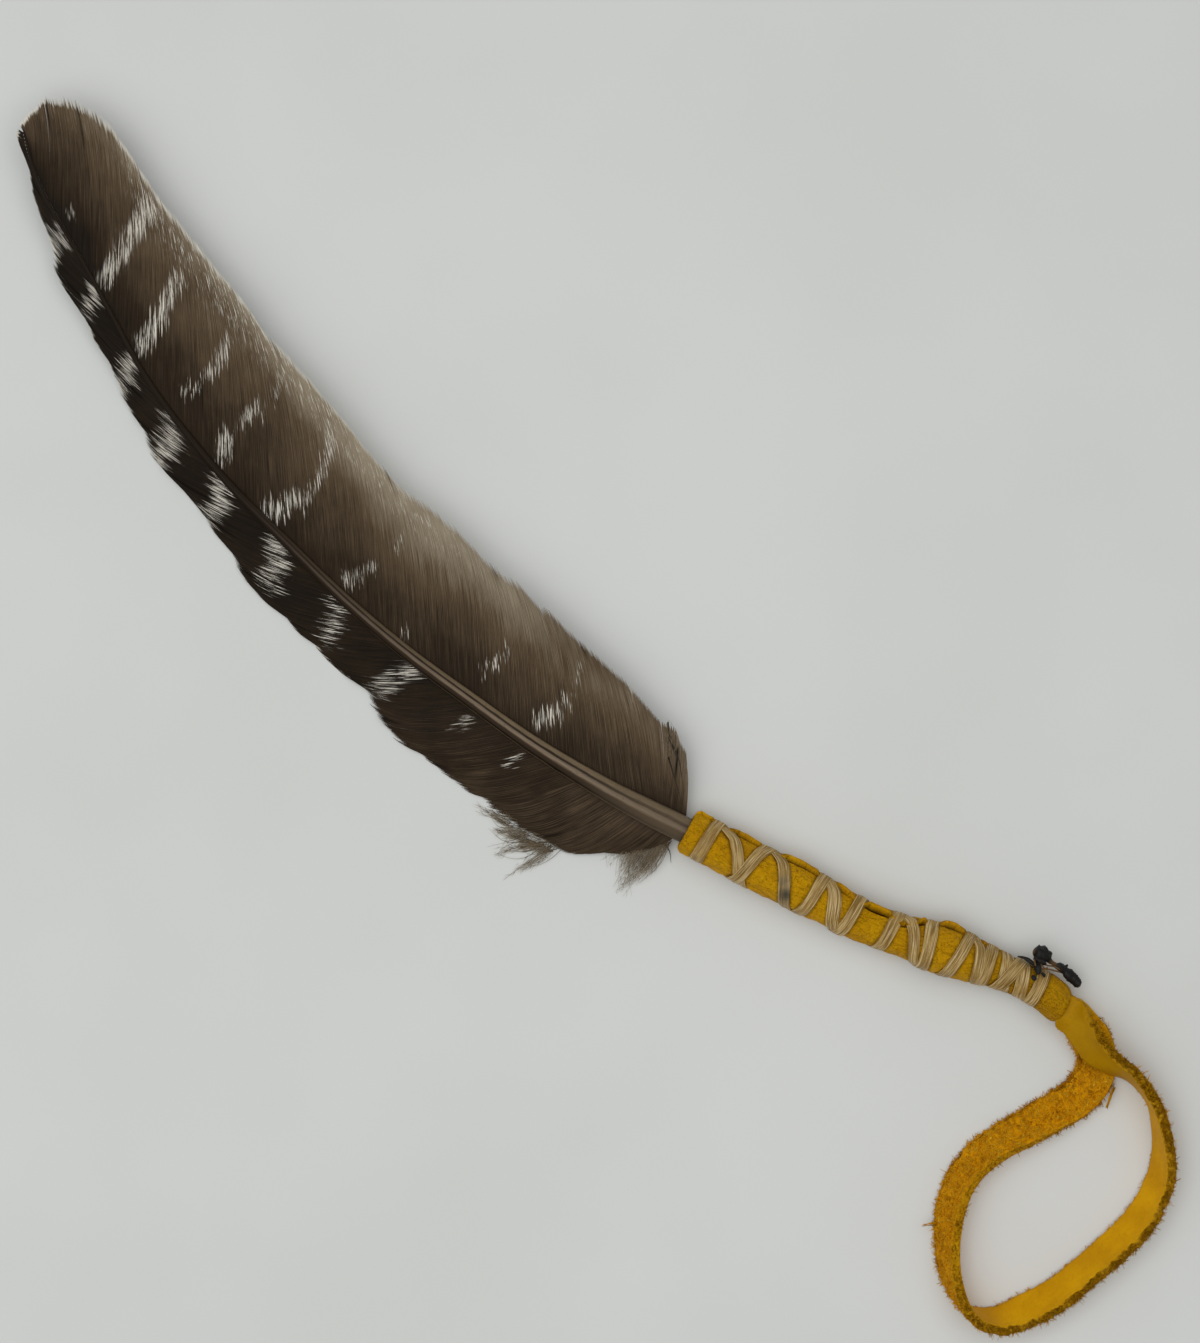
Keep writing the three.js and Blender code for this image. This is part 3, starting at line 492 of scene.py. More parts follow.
class Shade:
    """A material and the nodes that make it."""

    def __init__(self, name, specular, **more):
        self.material = bpy.data.materials.new(name)
        self.material.use_nodes = True
        self.tree = self.material.node_tree
        self.tree.nodes.clear()
        output = self.tree.nodes.new("ShaderNodeOutputMaterial")
        self.surface = self.node("BsdfPrincipled", {"Specular IOR Level": specular, **more})
        self.tree.links.new(self.surface.outputs[0], output.inputs["Surface"])

    def set(self, socket, value):
        if isinstance(value, bpy.types.NodeSocket):
            self.tree.links.new(value, socket)
        else:
            socket.default_value = value

    def node(self, kind, inputs, **settings):
        made = self.tree.nodes.new("ShaderNode" + kind)
        for key, value in settings.items():
            setattr(made, key, value)
        for key, value in inputs.items():
            self.set(made.inputs[key], value)
        return made

    def value(self, name):
        return self.node("Attribute", {}, attribute_name=name).outputs["Fac"]

    def place(self, size):
        """Object coordinates times a size."""
        return self.scaled(self.node("TexCoord", {}).outputs["Object"], (size, size, size))

    def along(self, name, *scale):
        """A vector kept on the vertices, times a scale."""
        kept = self.node("Attribute", {}, attribute_name=name).outputs["Vector"]
        return self.scaled(kept, scale)

    def scaled(self, vector, scale):
        return self.node("VectorMath", {0: vector, 1: scale}, operation="MULTIPLY").outputs[0]

    def noise(self, place, detail=3, roughness=0.55, twist=0):
        inputs = {"Vector": place, "Scale": 1, "Detail": detail, "Roughness": roughness}
        return self.node("TexNoise", {**inputs, "Distortion": twist}).outputs["Fac"]

    def lines(self, place, width, twist=1):
        """Thin curling lines: 1 in the middle of a line and 0 off it."""
        level = self.noise(place, 2, 0.5, twist)
        off = self.math("ABSOLUTE", self.math("SUBTRACT", level, 0.5), 0)
        return self.span(off, 0, width, 1, 0)

    def cells(self, place):
        return self.node("TexVoronoi", {"Vector": place, "Scale": 1}).outputs["Distance"]

    def math(self, operation, a, b):
        return self.node("Math", {0: a, 1: b}, operation=operation).outputs[0]

    def span(self, value, low, high, to_low=0, to_high=1):
        """A value between low and high, spread over another span."""
        inputs = {0: value, 1: low, 2: high, 3: to_low, 4: to_high}
        return self.node("MapRange", inputs, interpolation_type="SMOOTHSTEP").outputs[0]

    def mix(self, factor, a, b):
        """One colour or value turning into another; colours are given 0 to 255."""
        a, b = (paint(*v) if isinstance(v, tuple) else v for v in (a, b))
        return self.node("Mix", {0: factor, 6: a, 7: b}, data_type="RGBA").outputs[2]

    def over(self, colour, tint, value, low, high, most=1):
        """A tint laid over a colour: none of it where the value is low, most where high."""
        return self.mix(self.span(value, low, high, 0, most), colour, tint)

    def ramp(self, value, stops):
        made = self.node("ValToRGB", {0: value})
        elements = made.color_ramp.elements
        while len(elements) < len(stops):
            elements.new(0.5)
        for element, (at, *colour) in zip(elements, stops):
            element.position = at
            element.color = paint(*colour)
        return made.outputs[0]

    def bump(self, height, distance, under=None):
        inputs = {"Height": height, "Distance": distance * MM, "Strength": 1}
        if under:
            inputs["Normal"] = under
        return self.node("Bump", inputs).outputs[0]

    def finish(self, colour, roughness, normal):
        self.set(self.surface.inputs["Base Color"], colour)
        self.set(self.surface.inputs["Roughness"], roughness)
        self.set(self.surface.inputs["Normal"], normal)
        return self.material


def vane_material():
    """Barbs: dark by the shaft, greyer to the edge, with pale bars, flecks and rims."""
    s = Shade("feather_vane", 0.1)
    streak = s.noise(s.along("barb", 0.2, 1, 0), 4, 0.6)
    dash = s.noise(s.along("barb", 0.22, 1.3, 0), 2, 0.5)
    hair = s.noise(s.along("barb", 0.1, 3, 0), 2, 0.5)
    patch = s.noise(s.place(65), 5, 0.6)
    tone = s.math("ADD", s.value("tone"), s.span(patch, 0.3, 0.7, -0.06, 0.06))
    tone = s.math("ADD", tone, s.span(hair, 0.3, 0.7, -0.13, 0.15))
    tone = s.math("ADD", tone, s.span(s.value("tint"), 0, 1, -0.025, 0.025))
    stops = [(0, 20, 15, 9), (0.3, 52, 40, 27), (0.6, 99, 82, 62), (1, 166, 152, 130)]
    dashes = s.math("MULTIPLY", s.value("fleck"), s.span(dash, 0.59, 0.66))
    colour = s.mix(dashes, s.ramp(tone, stops), (234, 228, 214))
    thick, thin = s.span(streak, 0.4, 0.6, 0.15, 1.25), s.span(hair, 0.38, 0.62, 0.3, 1.3)
    broken = s.math("MULTIPLY", s.value("pale"), s.math("MULTIPLY", thick, thin))
    colour = s.over(colour, (236, 229, 215), broken, 0.12, 0.72, 0.97)
    fringe = s.math("MULTIPLY", s.value("rim"), s.span(streak, 0.34, 0.54, 0.55, 1))
    colour = s.mix(fringe, colour, (234, 228, 212))
    # Painted shadow in the slits where barbs have come apart.
    colour = s.mix(s.value("slit"), colour, (14, 10, 6))
    weave = s.noise(s.along("barb", 5.5, 1.2, 0), 2)
    return s.finish(colour, s.span(hair, 0.2, 0.8, 0.5, 0.7), s.bump(weave, 0.04))


def shaft_material():
    """The shaft: brown horn, with a painted highlight on the broad vane's side of its groove,
    painted shade in the groove and a painted shadow line by the narrow vane.
    """
    s = Shade("feather_shaft", 0.08)
    grain = s.noise(s.along("run", 0.25, 26, 0), 4)
    speck = s.noise(s.place(900), 3)
    shifted = s.math("ADD", s.value("across"), s.span(grain, 0.3, 0.7, -0.02, 0.02))
    # Across the shaft: painted shade in the groove, a painted highlight beside it, and a painted
    # shadow line beside the narrow vane.
    stops = [
        (0, 80, 64, 44), (0.06, 142, 124, 98), (0.22, 126, 108, 84), (0.28, 40, 31, 22),
        (0.36, 40, 31, 22), (0.42, 144, 126, 106), (0.56, 132, 114, 95), (0.65, 58, 45, 33),
        (0.84, 46, 35, 25), (0.88, 8, 6, 4), (0.93, 8, 6, 4), (0.97, 88, 72, 54),
    ]
    colour = s.over(s.ramp(shifted, stops), (70, 56, 40), grain, 0.3, 0.7, 0.25)
    colour = s.mix(s.value("foot"), colour, (112, 96, 76))
    colour = s.mix(s.value("young"), colour, (34, 25, 17))
    colour = s.over(colour, (40, 31, 24), speck, 0.62, 0.75, 0.3)
    bump = s.bump(speck, 0.03, s.bump(grain, 0.06))
    return s.finish(colour, s.span(speck, 0.3, 0.7, 0.34, 0.5), bump)


def down_material():
    """Loose downy barbs: thin, soft and brown-grey."""
    s = Shade("feather_down", 0.15)
    blotch = s.noise(s.place(400), 3)
    colour = s.mix(s.value("reach"), (104, 88, 64), (190, 174, 148))
    colour = s.over(colour, (92, 78, 56), blotch, 0.4, 0.7, 0.4)
    colour = s.mix(s.value("dark"), colour, (26, 20, 13))
    return s.finish(colour, s.span(blotch, 0.3, 0.7, 0.6, 0.8), s.bump(blotch, 0.02))


def hide_colours(s, place):
    """The dyed smooth side of the hide: golden, with darker pores and clouds."""
    grain = s.noise(s.place(1500), 5, 0.65)
    crease = s.noise(place, 5, 0.62)
    colour = s.over((206, 147, 0), (226, 168, 1), s.noise(s.place(110), 4), 0.3, 0.7)
    colour = s.over(colour, (160, 106, 0), grain, 0.48, 0.72, 0.25)
    return s.over(colour, (148, 98, 0), crease, 0.55, 0.75, 0.2), grain, crease


def wrap_material():
    """The grip's hide, with painted shade darkening its folds and under the lacing."""
    s = Shade("leather_smooth", 0.08)
    colour, grain, crease = hide_colours(s, s.along("round", 0.34, 0.9, 0))
    wrinkle = s.noise(s.along("round", 1.6, 0.55, 0), 4, 0.6)
    colour = s.over(colour, (140, 90, 0), wrinkle, 0.57, 0.7, 0.14)
    shaded_creases = s.lines(s.along("round", 0.22, 0.5, 0), 0.03, 0.8)
    # Painted shade along the thin creases that the bump sinks in.
    colour = s.mix(s.math("MULTIPLY", shaded_creases, 0.12), colour, (130, 84, 0))
    # Painted shade in the seam's gap, beside the lacing and inside the open front end; the hide is
    # also darker towards its back end.
    colour = s.mix(s.value("cleft"), colour, (66, 38, 0))
    pores = s.cells(s.place(1100))
    sunk = s.math("SUBTRACT", crease, s.math("MULTIPLY", shaded_creases, 0.22))
    folded = s.bump(sunk, 0.85, s.bump(wrinkle, 1.1, s.bump(pores, 0.06)))
    return s.finish(colour, s.span(grain, 0.3, 0.7, 0.46, 0.64), s.bump(grain, 0.06, folded))


def strap_material():
    """The wrist loop's hide: smooth on one side, rough on the other, with raw edges."""
    s = Shade("leather_strap", 0.08)
    colour, grain, crease = hide_colours(s, s.along("run", 0.5, 0.3, 0))
    nap = s.noise(s.place(1100), 6, 0.75)
    thread = s.noise(s.along("run", 1.1, 1.6, 0), 6, 0.75)
    suede = s.over((200, 128, 0), (232, 162, 4), nap, 0.36, 0.62)
    suede = s.over(suede, (160, 98, 0), thread, 0.54, 0.68, 0.3)
    suede = s.over(suede, (176, 110, 0), s.noise(s.place(160), 4), 0.5, 0.7, 0.3)
    curls = s.lines(s.along("run", 0.3, 0.36, 0), 0.04, 3)
    suede = s.mix(s.math("MULTIPLY", curls, 0.9), suede, (248, 196, 50))
    nicks = s.lines(s.along("run", 0.22, 0.3, 3), 0.014, 3)
    suede = s.mix(s.math("MULTIPLY", nicks, 0.3), suede, (130, 72, 0))
    rough_side = s.value("suede")
    # Painted shade over the strap's first stretch from the grip.
    colour = s.mix(s.value("soiled"), colour, (112, 82, 0))
    colour = s.mix(rough_side, colour, suede)
    colour = s.mix(s.value("cut"), colour, s.over((122, 88, 0), (194, 142, 10), nap, 0.36, 0.62))
    napped = s.math("ADD", nap, s.math("ADD", thread, curls))
    fibre = s.mix(rough_side, s.math("MULTIPLY", grain, 0.25), napped)
    bump = s.bump(fibre, 0.25, s.bump(crease, 0.08))
    return s.finish(colour, s.span(rough_side, 0, 1, 0.55, 0.88), bump)


def fuzz_material():
    """Loose fibres of the hide's rough side and cut edges."""
    s = Shade("leather_fuzz", 0.1)
    blotch = s.noise(s.place(300), 3)
    colour = s.over((186, 122, 0), (232, 168, 14), blotch, 0.35, 0.65)
    colour = s.mix(s.value("cut"), colour, (134, 98, 2))
    return s.finish(colour, s.span(blotch, 0.3, 0.7, 0.75, 0.9), s.bump(blotch, 0.02))


def sinew_material():
    """Waxed sinew: a flat bundle of pale fibres with darker threads and a stain."""
    s = Shade("sinew_waxed", 0.3, **{"Coat Weight": 0.05})
    thread = s.noise(s.along("run", 0.1, 4.2, 0), 5, 0.7)
    wide = s.noise(s.along("run", 0.16, 1.3, 0), 3)
    colour = s.over((140, 106, 40), (178, 144, 80), wide, 0.35, 0.65)
    colour = s.over(colour, (230, 204, 152), thread, 0.49, 0.62, 0.8)
    colour = s.over(colour, (104, 74, 22), thread, 0.49, 0.38, 0.8)
    colour = s.over(colour, (140, 102, 40), s.noise(s.place(160), 3), 0.45, 0.7, 0.35)
    colour = s.mix(s.value("stain"), colour, (66, 60, 46))
    return s.finish(colour, s.span(thread, 0.3, 0.7, 0.32, 0.5), s.bump(thread, 0.16))


def burnt_material():
    """Melted and burnt sinew: black and half glossy, brown where it is thin."""
    s = Shade("sinew_burnt", 0.25, **{"Coat Weight": 0.05, "Coat Roughness": 0.3})
    lump = s.noise(s.place(900), 5)
    fine = s.noise(s.place(3000), 4)
    colour = s.over((10, 8, 6), (34, 30, 26), lump, 0.35, 0.7)
    colour = s.mix(s.value("thin"), colour, (112, 80, 40))
    bump = s.bump(fine, 0.1, s.bump(lump, 0.35))
    return s.finish(colour, s.span(fine, 0.3, 0.7, 0.4, 0.7), bump)


# ---- feather -------------------------------------------------------------------

shaft_at = through(SHAFT)


def seen(points):
    """Where the camera sees points, in the plane of the sheet."""
    x0, y0, height = CAMERA_AT
    k = (height / (height - points[..., 2]))[..., None]
    centre = np.array((x0, y0))
    return centre + (points[..., :2] - centre) * k - (0, MARK_SHIFT)


def unseen(marks, z):
    """The points at heights z that the camera sees at marks: the reverse of seen."""
    x0, y0, height = CAMERA_AT
    centre = np.array((x0, y0))
    flat = centre + (marks + (0, MARK_SHIFT) - centre) * ((height - z) / height)[..., None]
    return np.concatenate([flat, z[..., None]], -1)


def nearest_on(line, points):
    """The nearest point to each point on a line of straight stretches, and how far it is."""
    line = np.asarray(line, float)
    a, b = line[:-1], line[1:]
    to = points[..., None, :] - a
    along = b - a
    u = np.clip((to * along).sum(-1) / (along * along).sum(-1), 0, 1)
    gap = np.linalg.norm(to - u[..., None] * along, axis=-1)
    best = gap.argmin(-1)
    foot = a[best] + along[best] * np.take_along_axis(u, best[..., None], -1)
    return foot, gap.min(-1)


def shaft_frame(x):
    """The shaft's centre, its left, its own up and half its width, at each x."""

    def point(at):
        return np.concatenate([at[..., None], shaft_at(at)[..., :2]], -1)

    along = unit(point(x + 1) - point(x - 1))
    left = left_of(along)
    return point(x), left, np.cross(along, left), shaft_at(x)[..., 2]


def feather_shaft():
    """The shaft: a groove along it, and a small one beside the narrow vane where its material
    paints a sharp shadow line.
    """
    x = np.linspace(SHAFT[0][0] - 0.6, SHAFT[-1][0], SHAFT_STATIONS)
    centre, left, up, half = shaft_frame(x)
    angle = np.linspace(0, 2 * math.pi, SHAFT_SIDES, endpoint=False)
    across = (1 + np.cos(angle)) / 2
    top = np.sin(angle) > 0
    groove = 0.2 * bell(across, 0.37, 0.06) + 0.1 * bell(across, 0.93, 0.04)
    crown = 0.06 * bell(across, 0.52, 0.12)
    height = SHAFT_FLATTEN * np.sin(angle) + np.where(top, crown - groove, 0)
    rings = centre[:, None] - steps(left, SHAFT_WIDEN * half[:, None] * np.cos(angle))
    rings = rings + steps(up, half[:, None] * height)
    piece(
        "feather_shaft", tube(rings), shaft_material(), "feather", ["feather"], rings.shape[:2],
        across=np.where(top, across, 0.3),
        young=0.97 * smoothstep(-x, 95, 195)[:, None],
        foot=0.5 * smoothstep(x, -84, -50)[:, None],
        run=joined(x[:, None], across, 0.0),
    )


def barb_paths(tips, edge, hook, away, count, ragged):
    """The middle lines of a vane's barbs, and where each leaves the shaft."""
    tip_at = through(tips)
    dense = np.linspace(tips[0][0], tips[-1][0], 900)
    step = np.abs(np.diff(dense)) + np.linalg.norm(np.diff(tip_at(dense), axis=0), axis=1)
    run = np.concatenate([[0], np.cumsum(step)])
    x = np.interp(np.linspace(0, run[-1], count), run, dense)
    centre, left, _, half = shaft_frame(x)
    root = centre + left * (away * 0.9 * half)[:, None]
    root[:, 2] -= 0.2 * half
    tip = tip_at(x)
    on_edge, _ = nearest_on(edge, seen(tip))
    tip = unseen(on_edge, tip[:, 2])
    q = np.linspace(0, 1, BARB_STATIONS)
    trim = ragged * (rng.random(count) ** 2 - 0.3 * wander(np.arange(count), 0.16, 31))
    trim = trim - 0.75 * ragged * rng.random(count) * (rng.random(count) < 0.16)
    reach = q * (1 - trim)[:, None]
    lean = tip - root
    length = np.linalg.norm(lean, axis=1)
    outward = -away * left_of(lean)
    bend = through(hook)(x)[:, :1] * length[:, None] * reach * (1 - reach**3)
    paths = root[:, None] + steps(lean, reach) + steps(outward, bend)
    paths[..., 2] = root[:, None, 2] + lean[:, None, 2] * reach**EDGE_LIFT
    return x, paths, reach


def comb(paths, x, reach, splits):
    """Barbs lifted on one side of each slit, on a wavy vane, and how deep in a slit each is, which
    sets the slit's painted shadow.
    """
    moved = paths.copy()
    slit = np.zeros(reach.shape)
    for at, start, stop, step in splits:
        beside = x - at
        opened = smoothstep(reach, start, min(start + 0.2, 1))
        opened = opened * fade(reach, stop - 0.1, stop)
        lift = np.where(beside > 0, step, -0.4 * step) * np.exp(-np.abs(beside) / SPLIT_LIFT)
        moved[..., 2] += lift[:, None] * opened
        # The slit's painted shadow, strongest on the barbs beside it.
        slit = np.maximum(slit, np.exp(-np.abs(beside) / SPLIT_SHADOW)[:, None] * opened)
    wave = wander(x, 0.09, 3) * 0.3 + wander(x, 0.35, 5) * 0.12
    moved[..., 2] += wave[:, None] * reach**2
    return moved, slit


def vane(name, tips, edge, hook, marks, splits, away, count, tone, rim_of):
    """One vane: every barb a closed three-sided fibre that overlaps its neighbours."""
    broad = away > 0
    ragged = BROAD_RAGGED if broad else NARROW_RAGGED
    x, straight, reach = barb_paths(tips, edge, hook, away, count, ragged)
    paths, slit = comb(straight, x, reach, splits)
    hold_above(paths, BARB_FLOOR)
    along = unit(np.gradient(straight, axis=1))
    apart = np.abs((np.gradient(straight, axis=0) * left_of(along)).sum(-1))
    taper = 1 - 0.8 * smoothstep(reach / reach[:, -1:], 0.93, 1)
    half = np.clip(apart * BARB_OVERLAP, 0.1, 1.1) * taper
    side = left_of(along)
    side[..., 2] += BARB_TILT
    shape = fibres(paths, unit(side), half, np.minimum(BARB_RIDGE, half * 0.45))

    jitter = rng.normal(0, 1, count)[:, None]
    spots = seen(paths + along * (jitter * MARK_JITTER)[..., None])
    pale = np.zeros(reach.shape)
    for strength, width, line in marks:
        _, gap = nearest_on(line, spots)
        pale = np.maximum(pale, strength * bell(gap, 0, width))
    pale *= np.clip(0.78 + 0.3 * rng.normal(0, 1, count), 0.1, 1.2)[:, None]
    to_tip = np.linalg.norm(straight - straight[:, -1:], axis=-1)
    strength, width = rim_of(x)[:, :1], rim_of(x)[:, 1:] * rng.uniform(0.5, 1.3, (count, 1))
    rim = strength * fade(to_tip / width, 0.5, 1)
    rim = np.maximum(rim, 0.8 * np.clip(pale, 0, 1) * fade(to_tip, 0.8, 2))
    fleck = smoothstep(-x, 80, 150) * (1 - 0.9 * smoothstep(-x, 222, 240)) * broad
    fleck = fleck[:, None] * smoothstep(reach, 0.62, 0.85)
    run = np.cumsum(np.linalg.norm(np.diff(paths, axis=1, prepend=paths[:, :1]), axis=-1), 1)
    number = np.arange(count)[:, None, None]
    made = piece(
        name, shape, vane_material(), "feather", ["feather"], (*reach.shape, 3), smooth=False,
        tone=tone(x, reach)[..., None],
        pale=pale[..., None] * BARB_PALE_SHEEN * (1 if broad else 0.9),
        rim=np.clip(rim, 0, 1)[..., None],
        tint=rng.random(count)[:, None, None],
        slit=np.clip(slit, 0, 1)[..., None],
        fleck=fleck[..., None],
        barb=joined(run[..., None], number + np.array(BARB_ACROSS), 0.0),
    )
    unfold(made, count, BARB_STATIONS)


def unfold(made, count, stations):
    """A UV map with one strip for each fibre, for a texture made from the material."""
    index = np.empty(len(made.data.loops), int)
    made.data.loops.foreach_get("vertex_index", index)
    corner, ring = index % 3, index // 3
    u = (ring % stations) / (stations - 1) * 0.98 + 0.01
    v = (ring // stations + 0.1 + corner * 0.4) / count
    layer = made.data.uv_layers.new(name="OFBake")
    layer.data.foreach_set("uv", np.stack([u, v], -1).ravel())


def broad_tone(x, reach):
    """The broad vane is dark by the shaft and grey towards its edge."""
    x = x[:, None]
    grey = smoothstep(-x, 60, 125) * (1 - 0.35 * smoothstep(-x, 150, 205))
    grey = grey * (1 - 0.4 * smoothstep(-x, 225, 262))
    inner = 0.72 - 0.26 * fade(-x, 130, 200)
    base = 0.235 - 0.08 * smoothstep(-x, 90, 230) - 0.125 * smoothstep(-x, 235, 262)
    base = base + 0.39 * smoothstep(reach, -0.1, 0.75)
    return base + 0.38 * grey * smoothstep(reach, inner, 1.02)


def narrow_tone(x, reach):
    """The narrow vane is brown near the grip and nearly black towards the tip."""
    return 0.34 - 0.25 * smoothstep(-x[:, None], 56, 135) + 0.03 * reach


def downy_barbs():
    """Loose curling barbs at the vanes' feet, each with side hairs, and a few stray ones."""
    barbs, hairs = [], []
    for x0, y0, z0, x1, y1, z1, count in DOWN:
        for _ in range(int(DOWN_SHARE * count)):
            foot = Vector((x0, y0, z0)) + Vector((random.gauss(0, 1.1), random.gauss(0, 0.8), 0))
            tip = Vector((x1, y1, z1)) + Vector((random.gauss(0, 1.3), random.gauss(0, 0.9), 0))
            tip = foot.lerp(tip, random.uniform(0.5, 1.02))
            barbs.append((*foot, *tip, random.gauss(0, 0.13)))
            for _ in range(SIDE_HAIRS):
                root = foot.lerp(tip, random.uniform(0.1, 0.9))
                turn = random.choice((-1, 1)) * random.uniform(0.15, 0.5)
                run = (tip - foot).to_2d().normalized()
                run.rotate(Matrix.Rotation(turn, 2))
                out = root + run.to_3d() * random.uniform(0.8, 2.4)
                hairs.append((*root, *out, random.gauss(0, 0.1)))

    def curling(rows, stations):
        q = np.linspace(0, 1, stations)
        foot, tip, curl = np.split(np.array(rows), (3, 6), axis=1)
        lean = tip - foot
        bend = curl * np.linalg.norm(lean, axis=1, keepdims=True) * np.sin(math.pi * q)
        paths = foot[:, None] + lean[:, None] * q[:, None] + steps(left_of(lean), bend)
        paths[..., 2] += 0.25 * np.sin(5 * q + curl * 20)
        return paths

    def woven(paths, half, dark):
        q = np.broadcast_to(np.linspace(0, 1, paths.shape[1]), paths.shape[:2])
        hold_above(paths, BARB_FLOOR)
        widths = half * (1 - 0.8 * q)
        shape = fibres(paths, left_of(np.gradient(paths, axis=1)), widths, widths)
        reach = np.repeat(q.reshape(-1), 3)
        return shape, reach, np.full(len(reach), dark)

    strays = np.array([curve(row, DOWN_STATIONS) for row in STRAY_BARBS])
    shapes, reach, dark = zip(
        woven(curling(barbs, DOWN_STATIONS), DOWN_HALF, 0),
        woven(curling(hairs, HAIR_STATIONS), HAIR_HALF, 0),
        woven(strays, STRAY_HALF, 0.9),
    )
    piece(
        "downy_barbs", gathered(shapes), down_material(), "feather", ["feather"],
        reach=np.concatenate(reach), dark=np.concatenate(dark),
    )


# ---- grip ----------------------------------------------------------------------

grip_at = through(GRIP)
seam_at = through(SEAM)
GRIP_FROM, GRIP_TO = GRIP[0][0], GRIP[-1][0]


def overlap(x, angle):
    """How far the hide's overlap stands out at an angle, in degrees."""
    under = np.mod(seam_at(x)[..., 0] - angle, 360)
    laid = fade(under, 0, SEAM_FADE)
    return SEAM_STEP * laid * fade(x, *SEAM_END)


def grip_point(x, angle, over):
    """A point over the grip: x along it, degrees up from the +Y side, and height."""
    x, angle = np.broadcast_arrays(np.asarray(x, float), np.asarray(angle, float))
    y, radius = np.moveaxis(grip_at(x), -1, 0)
    lip = 1 - 0.1 * fade(x - GRIP_FROM, 0, 1.2) ** 2
    past = np.clip((x - GRIP_TO + GRIP_ROUND) / GRIP_ROUND, 0, 1)
    tuck = 1 - GRIP_TUCK * (1 - np.sqrt(np.maximum(1 - past**2, 0)))
    reach = radius * lip * tuck + over
    across = reach * np.cos(np.radians(angle))
    height = radius * GRIP_SINK + GRIP_FOOT + reach * np.sin(np.radians(angle))
    return np.stack([x - GRIP_LEAN * across, y + across, height], -1)


def place_on_grip(points):
    """The x along the grip and the angle at which points near it lie."""
    x = points[..., 0]
    for _ in range(4):
        x = points[..., 0] + GRIP_LEAN * (points[..., 1] - grip_at(x)[..., 0])
    y, radius = np.moveaxis(grip_at(x), -1, 0)
    angle = np.arctan2(points[..., 2] - radius * GRIP_SINK - GRIP_FOOT, points[..., 1] - y)
    return x, np.degrees(angle)


def strand_line(rows):
    """The x and angle of points along a strand."""
    path_at = through([(turns, x) for x, turns in rows])
    turns = sorted((rows[0][1], rows[-1][1]))
    count = int((turns[1] - turns[0]) * STRAND_STEPS)
    t = np.linspace(turns[0], turns[1], count)
    return path_at(t)[:, 0], t * 360


def stacked(lines):
    """How high each point of each strand lies, where the strands cross."""
    laid, lifts = [], []
    near, far = STRAND_NEAR
    for owner, (x, angle) in enumerate(lines):
        lift = np.zeros(len(x))
        for i, point in enumerate(grip_point(x, angle, 0)):
            for earlier, at, other, height in laid:
                apart = math.dist(point, earlier)
                if apart < far and (other != owner or abs(i - at) > STRAND_STEPS // 4):
                    share = fade(apart, near, far)
                    lift[i] = max(lift[i], float(share) * (height + STRAND_THICK))
            if i % 2 == 0:
                laid.append((tuple(point), i, owner, lift[i]))
        lifts.append(np.convolve(np.pad(lift, 2, "edge"), np.ones(5) / 5, "valid"))
    return lifts


def leather_wrap(lines):
    """The hide wrapped round the quill, pinched under the lacing, its edge gaping."""
    lacing = np.concatenate([grip_point(x, angle, 0) for x, angle in lines])
    tree = kdtree.KDTree(len(lacing))
    for number, point in enumerate(lacing):
        tree.insert(point, number)
    tree.balance()
    around = np.concatenate([np.arange(-16, 16, 1.0), np.arange(16, 344, 4)])
    ends = GRIP_TO - GRIP_ROUND * (1 - np.sin(np.linspace(0.1, 1, 12) * math.pi / 2))
    x = np.concatenate([np.linspace(GRIP_FROM, GRIP_TO - GRIP_ROUND, GRIP_STATIONS), ends])
    seam, gape = (value[:, None] for value in seam_at(x).T)
    seam = seam + 1.5 * wander(x, 0.25, 1)[:, None]
    grid_x, grid_angle = x[:, None] + 0 * around, seam + around
    shift = (around + 180) % 360 - 180
    base = grip_point(grid_x, grid_angle, 0)
    pinch = np.array([tree.find(p)[2] for p in base.reshape(-1, 3)]).reshape(grid_x.shape)
    kept = fade(grid_x, *SEAM_END)
    slope = np.where(shift < 0, SEAM_FADE, SEAM_DROP)
    lap = SEAM_STEP * kept * fade(np.abs(shift), 0, slope)
    gape = gape * smoothstep(pinch, 1.2, 2.4)
    puff = 0.7 * gape * bell(shift, -5, 8) * kept
    cleft = gape * bell(shift, 4.5, 3) * kept
    crease = rough(joined(grid_x * 0.5, grid_angle / 13, 0.0), 1, 2)
    fold = rough(joined(grid_x * 0.14, grid_angle / 30, 0.0), 1, 4)
    press = bell(pinch, 0, 1.9)
    over = lap + puff - 0.75 * cleft - 0.3 * press + 0.12 * bell(pinch, 2.3, 0.8)
    over = over + (0.13 * crease + 0.2 * fold) * (1 - 0.7 * press)
    rings = grip_point(grid_x, grid_angle, over)
    hold_above(rings, GRIP_FLOOR)
    # Painted shade in the seam's gap and beside the lacing, and darker towards the back end.
    shade = 1.1 * cleft + 0.45 * bell(pinch, 1.6, 0.5) + 0.22 * smoothstep(grid_x, 12, 50)
    place = joined(grid_x, grid_angle / 11, 0.0)
    # The front end rolls in and is open round the quill; its inside is painted dark as shade.
    depth, size, dark = np.array(BORE).T[..., None]
    bore_x = GRIP_FROM + depth
    bore = grip_point(bore_x, grid_angle[:1], size - grip_at(bore_x)[..., 1])
    rings = np.concatenate([bore, rings])
    piece(
        "leather_wrap_skin", tube(rings), wrap_material(), "hide", ["leather_wrap"],
        rings.shape[:2],
        cleft=np.concatenate([dark + 0 * grid_angle[:1], np.clip(shade, 0, 1)]),
        round=np.concatenate([np.repeat(place[:1], len(bore), 0), place]),
    )


